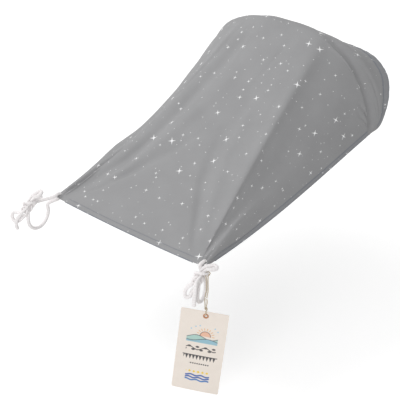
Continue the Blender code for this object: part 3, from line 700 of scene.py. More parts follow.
class Nodes:
    """The node tree of a material or of the world, with short ways to add and join nodes."""

    def __init__(self, owner):
        owner.use_nodes = True
        self.owner = owner
        self.tree = owner.node_tree
        self.shader = self.tree.nodes.get("Principled BSDF")

    def join(self, target, value):
        """Gives an input a socket to follow, or a value."""
        if isinstance(value, bpy.types.NodeSocket):
            self.tree.links.new(value, target)
        else:
            target.default_value = value

    def add(self, kind, inputs=None, **settings):
        node = self.tree.nodes.new(kind)
        for key, value in settings.items():
            setattr(node, key, value)
        for key, value in (inputs or {}).items():
            self.join(node.inputs[key], value)
        return node

    def math(self, operation, a, b=0.0):
        return self.add("ShaderNodeMath", {0: a, 1: b}, operation=operation).outputs[0]

    def times(self, a, b):
        return self.math("MULTIPLY", a, b)

    def plus(self, a, b):
        return self.math("ADD", a, b)

    def parts(self, vector):
        """The X, Y and Z of a vector."""
        return self.add("ShaderNodeSeparateXYZ", {"Vector": vector}).outputs

    def vector(self, operation, a, b=(0.0, 0.0, 0.0)):
        return self.add("ShaderNodeVectorMath", {0: a, 1: b}, operation=operation).outputs[0]

    def attribute(self, name):
        return self.add("ShaderNodeAttribute", attribute_name=name, attribute_type="GEOMETRY")

    def mix(self, share, a, b, blend="MIX"):
        node = self.add("ShaderNodeMix", {"Factor": share}, data_type="RGBA", blend_type=blend)
        for socket, value in (("A", a), ("B", b)):
            target = [s for s in node.inputs if s.name == socket and s.type == "RGBA"][0]
            self.join(target, rgba(value) if isinstance(value, tuple) else value)
        return [s for s in node.outputs if s.type == "RGBA"][0]

    def ramp(self, value, low, high, bottom=0.0, top=1.0):
        limits = {"Value": value, "From Min": low, "From Max": high, "To Min": bottom, "To Max": top}
        return self.add("ShaderNodeMapRange", limits, interpolation_type="SMOOTHSTEP").outputs["Result"]

    def noise(self, vector, scale, detail=2.0, roughness=0.5):
        inputs = {"Vector": vector, "Scale": scale, "Detail": detail, "Roughness": roughness}
        return self.add("ShaderNodeTexNoise", inputs).outputs["Fac"]

    def position(self):
        return self.add("ShaderNodeTexCoord").outputs["Object"]

    def direct_rays(self):
        """One for rays from the camera, off a gloss or through a clear thing, and nothing for the rest."""
        rays = self.add("ShaderNodeLightPath").outputs
        seen = self.math("MAXIMUM", rays["Is Camera Ray"], rays["Is Glossy Ray"])
        return self.math("MAXIMUM", seen, rays["Is Transmission Ray"])

    def shade(self, inputs):
        for key, value in inputs.items():
            self.join(self.shader.inputs[key], value)

    def finish(self, colour, roughness, height=None, distance=0.0002, strength=0.6):
        """Joins colour, roughness and relief to the shader."""
        self.shade({"Base Color": colour, "Roughness": roughness})
        if height is not None:
            bump = self.add("ShaderNodeBump", {"Height": height, "Distance": distance, "Strength": strength})
            self.shade({"Normal": bump.outputs["Normal"]})
        return self.owner


# The print's sparkles, large to small: cell size, arm length, offset, share of cells that hold one
SPARKLES = ((0.056, 0.0092, (0.013, 0.021, 0.0), 0.88), (0.038, 0.0042, (0.511, 0.333, 0.0), 0.72),
            (0.027, 0.0023, (0.257, 0.771, 0.0), 0.60))


def add_sparkles(nodes, flat, cell, arm, offset, chance):
    """Four-pointed sparkles scattered one to a cell, with thin arms and a round heart. Gives their cover."""
    moved = nodes.vector("ADD", flat, offset)
    scaled = nodes.add("ShaderNodeVectorMath", {0: moved, "Scale": 1.0 / cell}, operation="SCALE").outputs[0]
    cells = nodes.add("ShaderNodeTexVoronoi", {"Vector": scaled, "Scale": 1.0, "Randomness": 0.70},
                      voronoi_dimensions="2D", feature="F1")
    seed = nodes.add("ShaderNodeSeparateColor", {"Color": cells.outputs["Color"]})
    local = nodes.vector("SUBTRACT", scaled, cells.outputs["Position"])
    turn = nodes.ramp(seed.outputs["Red"], 0.0, 1.0, -0.62, -0.26)
    turned = nodes.add("ShaderNodeVectorRotate", {"Vector": local, "Angle": turn}, rotation_type="Z_AXIS")
    parts = nodes.parts(turned.outputs[0])
    arm /= cell
    size = nodes.ramp(nodes.math("POWER", seed.outputs["Green"], 1.8), 0.0, 1.0, 0.48 * arm, arm)
    across, along = (nodes.math("DIVIDE", nodes.math("ABSOLUTE", parts[axis]), size) for axis in "XY")
    cover = 0.0
    for far, near in ((across, along), (along, across)):
        width = nodes.times(nodes.math("SUBTRACT", 1.0, far), 0.15)
        thin = nodes.ramp(nodes.math("SUBTRACT", width, near), -0.03, 0.03)
        thin = nodes.times(thin, nodes.math("LESS_THAN", far, 1.0))
        cover = nodes.math("MAXIMUM", cover, thin)
    squares = [nodes.math("POWER", value, 2.0) for value in (across, along)]
    heart = nodes.ramp(nodes.math("SQRT", nodes.plus(*squares)), 0.32, 0.22)
    cover = nodes.math("MAXIMUM", cover, heart)
    return nodes.times(cover, nodes.math("LESS_THAN", seed.outputs["Blue"], chance))


def woven_height(nodes, flat, pitch):
    """Plain weave: threads across and along, each over and under the next."""
    parts = nodes.parts(flat)
    return nodes.times(*(nodes.math("SINE", nodes.times(parts[axis], math.pi / pitch)) for axis in "XY"))


def cotton_material(name, colour, print_colour, seam_shade_colour):
    """Matt woven cotton with the sparkle print, and painted shade in the thread's colour along stitch lines,
    turned edges and hems.
    """
    nodes = new_material(name)
    place = nodes.attribute("flat").outputs["Vector"]
    flat = nodes.vector("MULTIPLY", place, (1.0, 1.0, 0.0))
    weave = woven_height(nodes, flat, THREAD_PITCH)
    slub = nodes.noise(flat, 900.0, 2.0)
    cloudy = nodes.noise(flat, 14.0, 3.0)
    # The colour's scale: a random cloudy tone, painted shade between the weave's threads where its bump is
    # low, and tone from the slubs
    shade = nodes.plus(nodes.ramp(cloudy, 0.3, 0.7, 0.97, 1.03), nodes.times(weave, 0.03))
    shade = nodes.plus(shade, nodes.ramp(slub, 0.35, 0.65, -0.03, 0.03))
    base = nodes.add("ShaderNodeVectorMath", {0: colour, "Scale": shade}, operation="SCALE").outputs[0]
    cover = 0.0
    for cell, arm, offset, chance in SPARKLES:
        cover = nodes.math("MAXIMUM", cover, add_sparkles(nodes, flat, cell, arm, offset, chance))
    base = nodes.mix(nodes.times(cover, 0.96), base, print_colour)
    # Painted seam shade, carried in the flat layer's Z, darkens the colour towards the thread's
    base = nodes.mix(nodes.times(nodes.parts(place)["Z"], 0.75), base, seam_shade_colour)
    nodes.shade({"Sheen Weight": 0.12, "Sheen Roughness": 0.6, "Specular IOR Level": 0.25})
    height = nodes.plus(weave, nodes.times(slub, 0.7))
    return nodes.finish(base, 0.88, height, 0.00012, 0.35)


def rope_material(name, colour, groove_shade_and_fibre_share, fibre_scale):
    """Cotton cord or string: paler on the strands' crowns and painted shade in the grooves, with darker fine
    fibres.
    """
    nodes = new_material(name)
    parts = nodes.parts(nodes.attribute("lay").outputs["Vector"])
    fibres = nodes.noise(nodes.position(), fibre_scale, 3.0, 0.6)
    groove_shade_and_fibre_colour = rgba(colour, groove_shade_and_fibre_share)
    # Painted shade: darker in the grooves between strands, by the relief stored in the lay layer's Z
    base = nodes.mix(nodes.ramp(parts["Z"], 0.90, 1.0), groove_shade_and_fibre_colour, colour)
    base = nodes.mix(nodes.ramp(fibres, 0.3, 0.75, 0.0, 0.12), base, groove_shade_and_fibre_colour)
    nodes.shade({"Sheen Weight": 0.2, "Sheen Roughness": 0.5, "Specular IOR Level": 0.2})
    return nodes.finish(base, 0.92, fibres, 0.00015, 0.5)


def thread_material(name, colour):
    """Sewing thread."""
    nodes = new_material(name)
    fibres = nodes.noise(nodes.position(), 4000.0, 2.0)
    base = nodes.mix(nodes.ramp(fibres, 0.3, 0.7, 0.0, 0.4), colour, rgba(colour, 0.75))
    return nodes.finish(base, 0.75, fibres, 0.00004, 0.4)


def elastic_material(name, colour):
    """Knitted elastic, ribbed along its length, with painted shade between the ribs."""
    nodes = new_material(name)
    parts = nodes.parts(nodes.attribute("flat").outputs["Vector"])
    ribs, cross = (nodes.math("SINE", nodes.times(parts[axis], 2.0 * math.pi / pitch))
                   for axis, pitch in (("Y", 0.0011), ("X", 0.0009)))
    height = nodes.plus(ribs, nodes.times(cross, 0.4))
    # Painted shade: darker where the ribs' height is low
    base = nodes.mix(nodes.ramp(height, -1.2, 1.2), rgba(colour, 0.8), colour)
    return nodes.finish(base, 0.8, height, 0.0002, 0.5)


def card_material(name):
    """Uncoated card with its printed colours, soft fibres and slightly worn edges."""
    nodes = new_material(name)
    ink = nodes.attribute("ink").outputs["Color"]
    edge = nodes.attribute("edge").outputs["Fac"]
    position = nodes.position()
    fibres = nodes.noise(position, 1400.0, 4.0, 0.65)
    mottle = nodes.noise(position, 60.0, 3.0)
    base = nodes.mix(nodes.ramp(fibres, 0.35, 0.75, 0.0, 0.10), ink, (0.55, 0.47, 0.38))
    base = nodes.mix(nodes.ramp(mottle, 0.35, 0.7, 0.0, 0.07), base, (0.60, 0.53, 0.44))
    base = nodes.mix(nodes.times(edge, 0.35), base, (0.92, 0.89, 0.84))
    return nodes.finish(base, 0.72, fibres, 0.00008, 0.35)


def copper_material(name, colour):
    """Copper, lightly brushed round, darker where it is handled less."""
    nodes = new_material(name)
    position = nodes.position()
    scratches = nodes.noise(position, 2600.0, 3.0, 0.6)
    tarnish = nodes.noise(position, 500.0, 2.0)
    base = nodes.mix(nodes.ramp(tarnish, 0.4, 0.75, 0.0, 0.45), colour, rgba(colour, 0.55))
    nodes.shade({"Metallic": 1.0})
    return nodes.finish(base, nodes.ramp(scratches, 0.2, 0.8, 0.26, 0.46), scratches, 0.00003, 0.3)


# The ties' routes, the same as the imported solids'

HALF_KNOT_RADIUS = 3.0
HALF_KNOT_HEIGHT = 5.9
HALF_KNOT_LENGTH = 20.0


def half_knot(start_angle, turn, upward):
    """One strand of the first half knot: a full turn round the other strand."""
    places = []
    for step in range(9):
        share = step / 8.0
        angle = math.radians(start_angle + turn * 360.0 * share)
        down = (share - 0.5) * HALF_KNOT_LENGTH * (-1.0 if upward else 1.0)
        places.append((HALF_KNOT_RADIUS * math.cos(angle), down,
                       HALF_KNOT_HEIGHT + HALF_KNOT_RADIUS * math.sin(angle)))
    return places


OUTER_STRAND_UP = ((2.9, 9, 20), (2.9, 0, 20), (2.9, -8, 20))
OUTER_STRAND_DOWN = ((-2.9, -8, 20), (-2.9, 0, 20), (-3.1, 5, 20), (-6.2, 9.5, 19.8), (-8.9, 12.5, 14.5),
                     (-6.8, 13.4, 8.6))
BAND = ((6.8, -13.2, 8.6), (9.1, -12, 14.5), (9.0, -7, 20.4), (7.6, -4, 24.2), (3.8, -1.4, 26.0),
        (-3.4, 0, 26.0), (-7.4, 0.6, 24.3), (-9.1, 1.4, 20.2), (-7.8, 4.4, 14.6), (-3.2, 8.8, 13.4),
        (-3.0, 15, 13.8))
INNER_STRAND = ((3.0, 15.5, 10.4), (2.6, 9, 13.9), (0.6, 0, 14.3), (-0.6, -9.5, 14.3))


class Tie:
    """One tie's own shape: where its knot sits, and the way its loops, tails and standing parts lie."""

    def __init__(self, name, knot, corner, tail, upper_loop, lower_loop, short_tail, over, under):
        self.name = name
        self.place, self.angle = knot
        self.corner = corner
        self.tail = tail
        self.upper_loop = upper_loop
        self.lower_loop = lower_loop
        self.short_tail = short_tail
        self.over = over
        self.under = under

    def knot_point(self, along, down, out):
        angle = math.radians(self.angle)
        outward = np.array([0.0, -math.sin(angle), math.cos(angle)])
        downward = np.array([0.0, -math.cos(angle), -math.sin(angle)])
        base = np.array([self.place, 0.0, 0.0]) + outward * HANDLEBAR_RADIUS
        return base + np.array([along * MM, 0.0, 0.0]) + downward * down * MM + outward * out * MM

    def bar_point(self, along, angle, out):
        """A point near the bar: angle in degrees forward from its top, out in millimetres."""
        reach = HANDLEBAR_RADIUS + out * MM
        turn = math.radians(angle)
        return np.array([self.place + along * MM, -reach * math.sin(turn), reach * math.cos(turn)])

    def corner_point(self, inward, out):
        """A point near the corner's hole, in millimetres from the cloth's edge."""
        centre, into, normal = corner_frame(self.corner)
        return centre + into * (inward * MM - HOLE_SETBACK) + normal * out * MM

    def route(self):
        """The cord's whole way, from one bare end to the other."""
        parts = (
            (self.knot_point, self.tail + OUTER_STRAND_UP + self.upper_loop + OUTER_STRAND_DOWN),
            (self.knot_point, half_knot(180.0, -1.0, False)[::-1]),
            (self.bar_point, self.over),
            (self.corner_point, ((-6, 5.6), (2, 5.4), (8.0, 4.0), (11, 0), (8.0, -4.0), (2, -5.4))),
            (self.bar_point, self.under),
            (self.knot_point, half_knot(0.0, 1.0, True)),
            (self.knot_point, BAND + self.lower_loop + INNER_STRAND + self.short_tail),
        )
        return [locate(*place) for locate, places in parts for place in places]

    def radius_at(self, points):
        """The cord is pinched in the knot and in the corner's hole."""
        knot = self.knot_point(0, 0, KNOT_CENTRE_HEIGHT / MM)
        hole = corner_frame(self.corner)[0]
        from_knot = length_of(points - knot)
        from_hole = length_of(points - hole)
        radius = np.interp(from_knot, (0.0165, 0.0225), (KNOT_CORD_RADIUS, CORD_RADIUS))
        return np.minimum(radius, np.interp(from_hole, (0.004, 0.012), (HOLE_CORD_RADIUS, CORD_RADIUS)))


LEFT_TIE = Tie(
    "left_tie", LEFT_KNOT, -1,
    tail=((-14, 45, -14), (-14, 42.5, -4.5), (-12, 36.5, 5.2), (-7, 31.5, 13), (-2, 25.5, 18.5),
          (1.4, 17, 20.6)),
    upper_loop=((4.6, -17, 20.4), (11.4, -28, 19.6), (12.4, -35, 19), (7.4, -37.4, 19), (2.6, -31, 20),
                (-3.0, -18, 20.6)),
    lower_loop=((-7.6, 21, 15), (-17, 22, 13.5), (-28, 24.5, 9), (-31, 31, 2), (-24, 35.5, -3),
                (-14.5, 32, -3.6), (-5.2, 25.8, 3.8)),
    short_tail=((-0.2, -18, 11.6), (3.2, -25.5, 8.2), (7, -33, 5.5)),
    over=((-2.4, 8, 8.6), (0, -18, 7.4)),
    under=((5, -62, 9.5), (5.5, -88, 5.2), (5.5, -115, 4.1), (5, -145, 4.1), (4.5, -175, 4.1), (4, -205, 4.1),
           (3.6, -235, 4.1), (3.2, -262, 4.3), (3.0, -283, 5.4)),
)
RIGHT_TIE = Tie(
    "right_tie", RIGHT_KNOT, 1,
    tail=((4.2, 42, -22), (5.2, 39, -12), (6.4, 34, -1), (6.4, 27, 10.5), (4.4, 17, 19.2)),
    upper_loop=((6.4, -17.5, 20), (15.4, -25.5, 15), (17, -31, 13.4), (10.4, -33.8, 15), (2.8, -26.4, 18),
                (-2.4, -17, 20.4)),
    lower_loop=((-5.6, 21.5, 14.6), (-11.4, 28, 11), (-13.6, 36, 5), (-10, 42, -1), (-4.2, 38, -2.6),
                (-1.8, 29, 3.0)),
    short_tail=((-1.4, -17, 11.8), (-5, -24, 9.5), (-10, -30, 8)),
    over=((-6, 2, 8.2), (-17, -18, 8.6)),
    under=((-24, -60, 6.6), (-22, -88, 4.2), (-18, -115, 4.1), (-13, -145, 4.1), (-8, -175, 4.1),
           (-3.5, -205, 4.1), (0, -235, 4.1), (2.4, -264, 4.1), (3.0, -290, 5.0)),
)


def round_the_tie():
    """The string's upper part: round the tie's band and forward over the bar."""
    lies = (STRING_RADIUS + GAP) / MM
    side = (STRING_PLACE - RIGHT_TIE.place) / MM
    band = RIGHT_TIE.knot_point(*BAND[1])
    reach = KNOT_CORD_RADIUS + STRING_RADIUS + 4.0 * GAP
    loop = []
    for angle in (100, 155, 210, 265, 320, 375, 395):
        turn = math.radians(angle)
        loop.append(band + RIGHT_TIE.knot_point(reach * math.cos(turn) / MM, reach * math.sin(turn) / MM, 0)
                    - RIGHT_TIE.knot_point(0, 0, 0))
    first = [RIGHT_TIE.bar_point(side - STRING_SPREAD / MM, angle, lies) for angle in (89.2, 74, 60)]
    last = [RIGHT_TIE.bar_point(side + STRING_SPREAD / MM, angle, lies) for angle in (60, 74, 89.2)]
    return first + loop + last


def hanging_string():
    """Down from the bar, once and a half round itself as a knot, and up again. Zero is the bar's level."""
    knot = Vector((0.0, 0.0, -STRING_DROP))
    spread = STRING_SPREAD
    right = [(spread, 0, -0.4 * MM), (spread + 0.6 * MM, 0, -8 * MM), (spread * 0.9, 0, -14 * MM)]
    centre = [knot + Vector(p) * MM for p in ((0.4, 0, 4.2), (0, 0, 1.0), (0.1, 0, -2.0), (0.9, 0, -4.0),
                                              (2.2, 0.5, -3.6))]
    coil = []
    for step in range(11):
        angle = math.radians(40.0 + 50.0 * step)
        coil.append(knot + Vector((STRING_COIL * math.cos(angle), STRING_COIL * math.sin(angle),
                                   (-2.0 + 0.32 * step) * MM)))
    left = [knot + Vector((-2.3 * MM, 0, 3.9 * MM)), (-spread, 0, -14 * MM), (-spread - 0.6 * MM, 0, -8 * MM),
            (-spread, 0, -0.4 * MM)]
    return right + centre + coil + left


def eyelet_loop():
    """Through the eyelet, in millimetres out from the card's face and up from the eyelet's centre."""
    front = ((1.2, EYELET_DROP / MM - 4.9), (1.8, 9.0), (2.9, 6.4), (2.9, 4.4), (2.7, 2.5), (2.3, 1.65),
             (1.5, 1.2), (0, 1.05))
    places = list(front) + [(-out, up) for out, up in reversed(front[:-1])]
    return [(0.0, -out * MM, up * MM) for out, up in places]


SWING = Vector((STRING_PLACE, -(HANDLEBAR_RADIUS + STRING_RADIUS + GAP), 0.0))
KNOT = SWING - Vector((0.0, 0.0, STRING_DROP))
EYE = KNOT - Vector((0.0, 0.0, EYELET_DROP))
TURNED = Matrix.Rotation(math.radians(CARD_YAW), 3, "Z")
UPRIGHT = Matrix(((1.0, 0.0, 0.0), (0.0, 0.0, -1.0), (0.0, 1.0, 0.0)))
TILTED = Matrix.Rotation(math.radians(CARD_TILT), 3, "Z")
CARD_FRAME = np.array(TURNED @ UPRIGHT @ TILTED)


def card_place(points):
    """World points from the card's own: x right, y up from the eyelet, z out of its face."""
    return np.asarray(points, float) @ CARD_FRAME.T + np.array(EYE)


# Settings shown in the sidebar

class ClothSettings(bpy.types.PropertyGroup):
    colour: bpy.props.FloatVectorProperty(
        name="Cloth", description="Colour of the cotton", subtype="COLOR", default=(0.318, 0.318, 0.324),
        min=0, max=1)
    print_colour: bpy.props.FloatVectorProperty(
        name="Sparkles", description="Colour of the printed sparkles", subtype="COLOR",
        default=(0.97, 0.97, 0.97), min=0, max=1)
    # Also the colour that the painted seam shade darkens the cloth towards
    thread_and_seam_shade_colour: bpy.props.FloatVectorProperty(
        name="Thread", description="Colour of the hems' stitches", subtype="COLOR",
        default=(0.15, 0.17, 0.21), min=0, max=1)
    stitch_pitch: bpy.props.FloatProperty(
        name="Stitch pitch", description="Length of one stitch and its gap", default=0.0034, min=0.002,
        max=0.01, unit="LENGTH")
    columns: bpy.props.IntProperty(
        name="Columns", description="Strips of the mesh across the cloth", default=236, min=60, max=600)


class CordSettings(bpy.types.PropertyGroup):
    colour: bpy.props.FloatVectorProperty(
        name="Cord", description="Colour of the tie cords", subtype="COLOR", default=(0.93, 0.90, 0.90),
        min=0, max=1)
    twine_colour: bpy.props.FloatVectorProperty(
        name="Twine", description="Colour of the tag's string", subtype="COLOR", default=(0.74, 0.63, 0.47),
        min=0, max=1)
    strands: bpy.props.IntProperty(
        name="Strands", description="Strands showing round the braided cord", default=8, min=4, max=24)
    pitch: bpy.props.FloatProperty(
        name="Braid pitch", description="Length of one turn of a strand", default=0.022, min=0.008, max=0.06,
        unit="LENGTH")


class TagSettings(bpy.types.PropertyGroup):
    card_colour: bpy.props.FloatVectorProperty(
        name="Card", description="Colour of the card", subtype="COLOR", default=(0.86, 0.785, 0.715),
        min=0, max=1)
    eyelet_colour: bpy.props.FloatVectorProperty(
        name="Eyelet", description="Colour of the eyelet's metal", subtype="COLOR",
        default=(0.46, 0.24, 0.14), min=0, max=1)


class StageSettings(bpy.types.PropertyGroup):
    floor_colour: bpy.props.FloatVectorProperty(
        name="Floor", description="Colour of the floor", subtype="COLOR", default=(0.66, 0.66, 0.66),
        min=0, max=1)
    key_power: bpy.props.FloatProperty(
        name="Key light", description="Power of the large soft light", default=25.0, min=0, unit="POWER")
    front_power: bpy.props.FloatProperty(
        name="Front light", description="Power of the low light in front", default=25.0, min=0, unit="POWER")
    fill_level: bpy.props.FloatProperty(
        name="Fill", description="Brightness of the light from all round", default=0.65, min=0)


# Pieces

# One stitch: rings along it, each with its place, thickness and lift
STITCH_FORM = ((-0.5, 0.25, -0.5), (-0.36, 0.85, 0.1), (0.0, 1.0, 0.45), (0.36, 0.85, 0.1), (0.5, 0.25, -0.5))


def stitch_run(places, normals, pitch):
    """Stitches laid end to end along a line on the cloth: points and faces of all of them."""
    travelled = travelled_along(places)
    middles = (np.arange(int(travelled[-1] / pitch)) + 0.5) * pitch
    start, end = (at_marks(middles + half * pitch, travelled, places) for half in (-0.42, 0.42))
    up = at_marks(middles, travelled, normals)
    side = unit(np.cross(up, unit(end - start)))
    angles = np.radians(np.arange(0, 360, 60))[:, None]
    rings = []
    for along, thick, lift in STITCH_FORM:
        centre = (start + end) / 2.0 + (end - start) * along + up * STITCH_RADIUS * lift
        round_it = side[:, None] * np.cos(angles) + up[:, None] * np.sin(angles)
        rings.append(centre[:, None] + round_it * STITCH_RADIUS * thick)
    points = np.stack(rings, 1).reshape(-1, 3)
    one = tube_faces(len(STITCH_FORM), len(angles))
    starts = range(0, len(points), len(STITCH_FORM) * len(angles))
    return points, [[first + place for place in face] for first in starts for face in one]


def cloth_rows(count):
    """v of the rows between the front edge and the rim, closer at the front hem and at the bend."""
    knots = (0.0, 0.05, 0.12, 0.86, 0.94, 1.0)
    values = (0.0, HEM_WIDTH / RIM_DISTANCE, 0.06, 0.93, 0.968, 1.0)
    return np.interp(np.linspace(0.0, 1.0, count), knots, values)


def cloth_grid(settings):
    """u and v of the cloth's rows and columns, closer at the hems, the bend and the casing."""
    columns = settings.columns
    share = np.linspace(-1.0, 1.0, columns + 1)
    panel, hem = 0.34, 0.965
    front_rows = cloth_rows(int(columns * 0.80))
    wrap_shares = np.concatenate([np.linspace(0.02, 0.16, 8), np.linspace(0.2, 1.0, 22)])
    casing_shares = np.linspace(0.0, 1.0, 9)[1:]

    def across(v):
        """u of the columns at that v."""
        sides = {sign: float(hem_line(sign, v)) for sign in (-1.0, 1.0)}
        places = []
        for value in share:
            sign = -1.0 if value < 0 else 1.0
            ends = (0.0, SHOULDER, sides[sign], 1.0)
            places.append(sign * np.interp(abs(value), (0.0, panel, hem, 1.0), ends))
        return np.array(places)

    rows = [(across(v), np.full(columns + 1, v)) for v in front_rows]
    last = across(1.0)
    casing = casing_line(last)
    rows += [(last, 1.0 + part * (casing - 1.0)) for part in wrap_shares]
    rows += [(last, casing + part * (2.0 - casing)) for part in casing_shares]
    return np.array([row[0] for row in rows]), np.array([row[1] for row in rows])


def turned_under(edge, inner_points, radius, outward, normal, steps=6):
    """Rows that roll under an edge and run back along the inner points, below the cloth."""
    rows = []
    for angle in np.linspace(math.pi / 2.0, -math.pi / 2.0, steps + 1)[1:]:
        rows.append(edge - normal * radius + radius * (outward * math.cos(angle) + normal * math.sin(angle)))
    return rows + list(inner_points)


def make_cloth(settings):
    """The sheet of cloth with its hems and casing turned under, as one mesh."""
    u, v = cloth_grid(settings)
    points = cloth_point(u, v)
    flat = flat_place(u, v)
    # The flat layer's Z carries the painted seam shade
    flat[..., 2] = hem_height(u, v)[1]
    pieces = [(points, flat)]

    def strip(rows_u, rows_v, outward, radius, shares, inner):
        """One hem: its edge line, the way out of the cloth, and places from the edge inwards."""
        edge = cloth_point(rows_u, rows_v)
        normal = plain_normal(rows_u, rows_v)
        under = [cloth_point(*inner(part), 2.0 * radius) for part in shares]
        rows = np.array([edge] + turned_under(edge, under, radius, outward, normal))
        base = flat_place(rows_u, rows_v)
        # The edge and its roll under are painted in full seam shade
        base[..., 2] = 1.0
        places = [base] * (len(rows) - len(shares)) + [flat_place(*inner(part)) for part in shares]
        pieces.append((rows, np.array(places)))

    shares = np.linspace(0.08, 1.0, 6)
    front = np.abs(u[0]) <= SHOULDER * 0.935
    fu = u[0][front]
    ahead = unit(plain_point(fu, np.zeros_like(fu)) - plain_point(fu, np.full_like(fu, 0.004)))
    strip(fu, np.zeros_like(fu), ahead, FOLD_RADIUS, shares,
          lambda part: (fu, np.full_like(fu, part * HEM_WIDTH / RIM_DISTANCE)))
    for sign, column in ((-1.0, 0), (1.0, -1)):
        inside = (v[:, column] > 0.055) & (v[:, column] < 0.968)
        sv = v[:, column][inside]
        su = np.full_like(sv, sign)
        outward = unit(plain_point(su, sv) - plain_point(su * 0.996, sv))
        line = 1.0 - hem_line(sign, sv)
        strip(su, sv, outward, FOLD_RADIUS, shares,
              lambda part, su=su, sv=sv, line=line, sign=sign: (sign * (1.0 - part * line), sv))
    keep = np.abs(u[-1]) <= 0.985
    ru = u[-1][keep]
    rv = np.full_like(ru, 2.0)
    outward = unit(plain_point(ru, rv) - plain_point(ru, rv - 0.02))
    casing = 2.0 - casing_line(ru)
    strip(ru, rv, outward, CASING_RADIUS, shares, lambda part: (ru, 2.0 - part * casing))

    points, flats, faces = [], [], []
    for rows, places in pieces:
        faces.extend((sheet_faces(*rows.shape[:2]) + len(points)).tolist())
        points.extend(rows.reshape(-1, 3))
        flats.extend(places.reshape(-1, 3))
    mesh = mesh_from("shade_cotton", points, faces)
    set_layer(mesh, "flat", "FLOAT_VECTOR", flats)
    build = bmesh.new()
    build.from_mesh(mesh)
    bmesh.ops.remove_doubles(build, verts=build.verts, dist=0.00001)
    bmesh.ops.recalc_face_normals(build, faces=build.faces)
    build.to_mesh(mesh)
    build.free()
    mesh.shade_smooth()
    return mesh


def tie_hole_place(corner):
    """Where a corner's hole goes through the cloth."""
    centre, _, normal = corner_frame(corner)
    return facing_along(centre, normal)


WHITE = (1.0, 1.0, 1.0, 1.0)
CAMERA_LENS = 134.06
CAMERA_PLACE = (1.6757, -1.8416, 1.5469)
CAMERA_FACING = ((0.78263, -0.31125, 0.53913), (0.62249, 0.39132, -0.67782), (0.0, 0.86603, 0.5))
FLOOR_DROP = 0.012
FLOOR_GLOW = 0.54  # how bright the floor is to the camera, over its light

# Soft lights: place, what they face, width and the setting with their power
LIGHTS = (
    ("key_light", (-1.75, 0.1, 1.85), (0.0, 0.3, 0.1), 1.6, "key_power"),
    ("front_light", (1.0, -2.6, 0.5), (0.1, 0.0, 0.0), 1.4, "front_power"),
)


class SHADE_OT_stage(bpy.types.Operator):
    """Sets up the camera, the lights and the floor"""
    bl_idname = "shade.stage"
    bl_label = "Stage"

    def execute(self, context):
        settings = context.scene.shade_stage
        scene = context.scene
        scene.view_settings.view_transform = "Standard"
        camera = bpy.data.cameras.new("camera")
        camera.lens = CAMERA_LENS
        camera.clip_end = 30.0
        eye = link_object("camera", camera)
        eye.matrix_world = Matrix.Translation(CAMERA_PLACE) @ Matrix(CAMERA_FACING).to_4x4()
        scene.camera = eye

        for name, place, target, size, power in LIGHTS:
            light = bpy.data.lights.new(name, "AREA")
            light.shape = "DISK"
            light.size = size
            light.energy = getattr(settings, power)
            lamp = link_object(name, light)
            lamp.matrix_world = facing_along(place, Vector(place) - Vector(target))
        world = bpy.data.worlds.new("studio")
        scene.world = world
        nodes = Nodes(world)
        nodes.tree.nodes.clear()
        seen = nodes.add("ShaderNodeBackground", {"Color": WHITE})
        around = nodes.add("ShaderNodeBackground", {"Color": WHITE, "Strength": settings.fill_level})
        choose = nodes.add("ShaderNodeMixShader",
                           {0: nodes.direct_rays(), 1: around.outputs[0], 2: seen.outputs[0]})
        nodes.add("ShaderNodeOutputWorld", {"Surface": choose.outputs[0]})

        mesh = bpy.data.meshes.new("floor")
        plane = bmesh.new()
        bmesh.ops.create_grid(plane, x_segments=8, y_segments=8, size=9.0)
        plane.to_mesh(mesh)
        plane.free()
        floor = link_object("floor", mesh)
        floor.location = (0.0, 0.0, CAD_BOX[0][2] - FLOOR_DROP)
        nodes = new_material("pale_floor")
        grain = nodes.noise(nodes.position(), 30.0)
        nodes.finish(rgba(settings.floor_colour), nodes.ramp(grain, 0.3, 0.7, 0.85, 0.95))
        nodes.shade({"Emission Color": WHITE,
                     "Emission Strength": nodes.times(nodes.direct_rays(), FLOOR_GLOW)})
        mesh.materials.append(nodes.owner)
        return {"FINISHED"}


class SHADE_OT_ties(bpy.types.Operator):
    """Makes the two braided tie cords, each tied in a bow round the handlebar"""
    bl_idname = "shade.ties"
    bl_label = "Tie cords"

    def execute(self, context):
        settings = context.scene.shade_cords
        material = rope_material("white_braid", tuple(settings.colour), 0.84, 2600.0)
        for tie in (LEFT_TIE, RIGHT_TIE):
            line = smooth_line(tie.route(), CORD_STEP)
            relief = braided(settings.strands, settings.pitch, BRAID_RELIEF)
            mesh = rope_mesh(tie.name, line, tie.radius_at(line) * 1.01, relief, 28)
            piece = new_piece(tie.name, mesh, material, "shade", (tie.name + "_cord",))
        return {"FINISHED"}


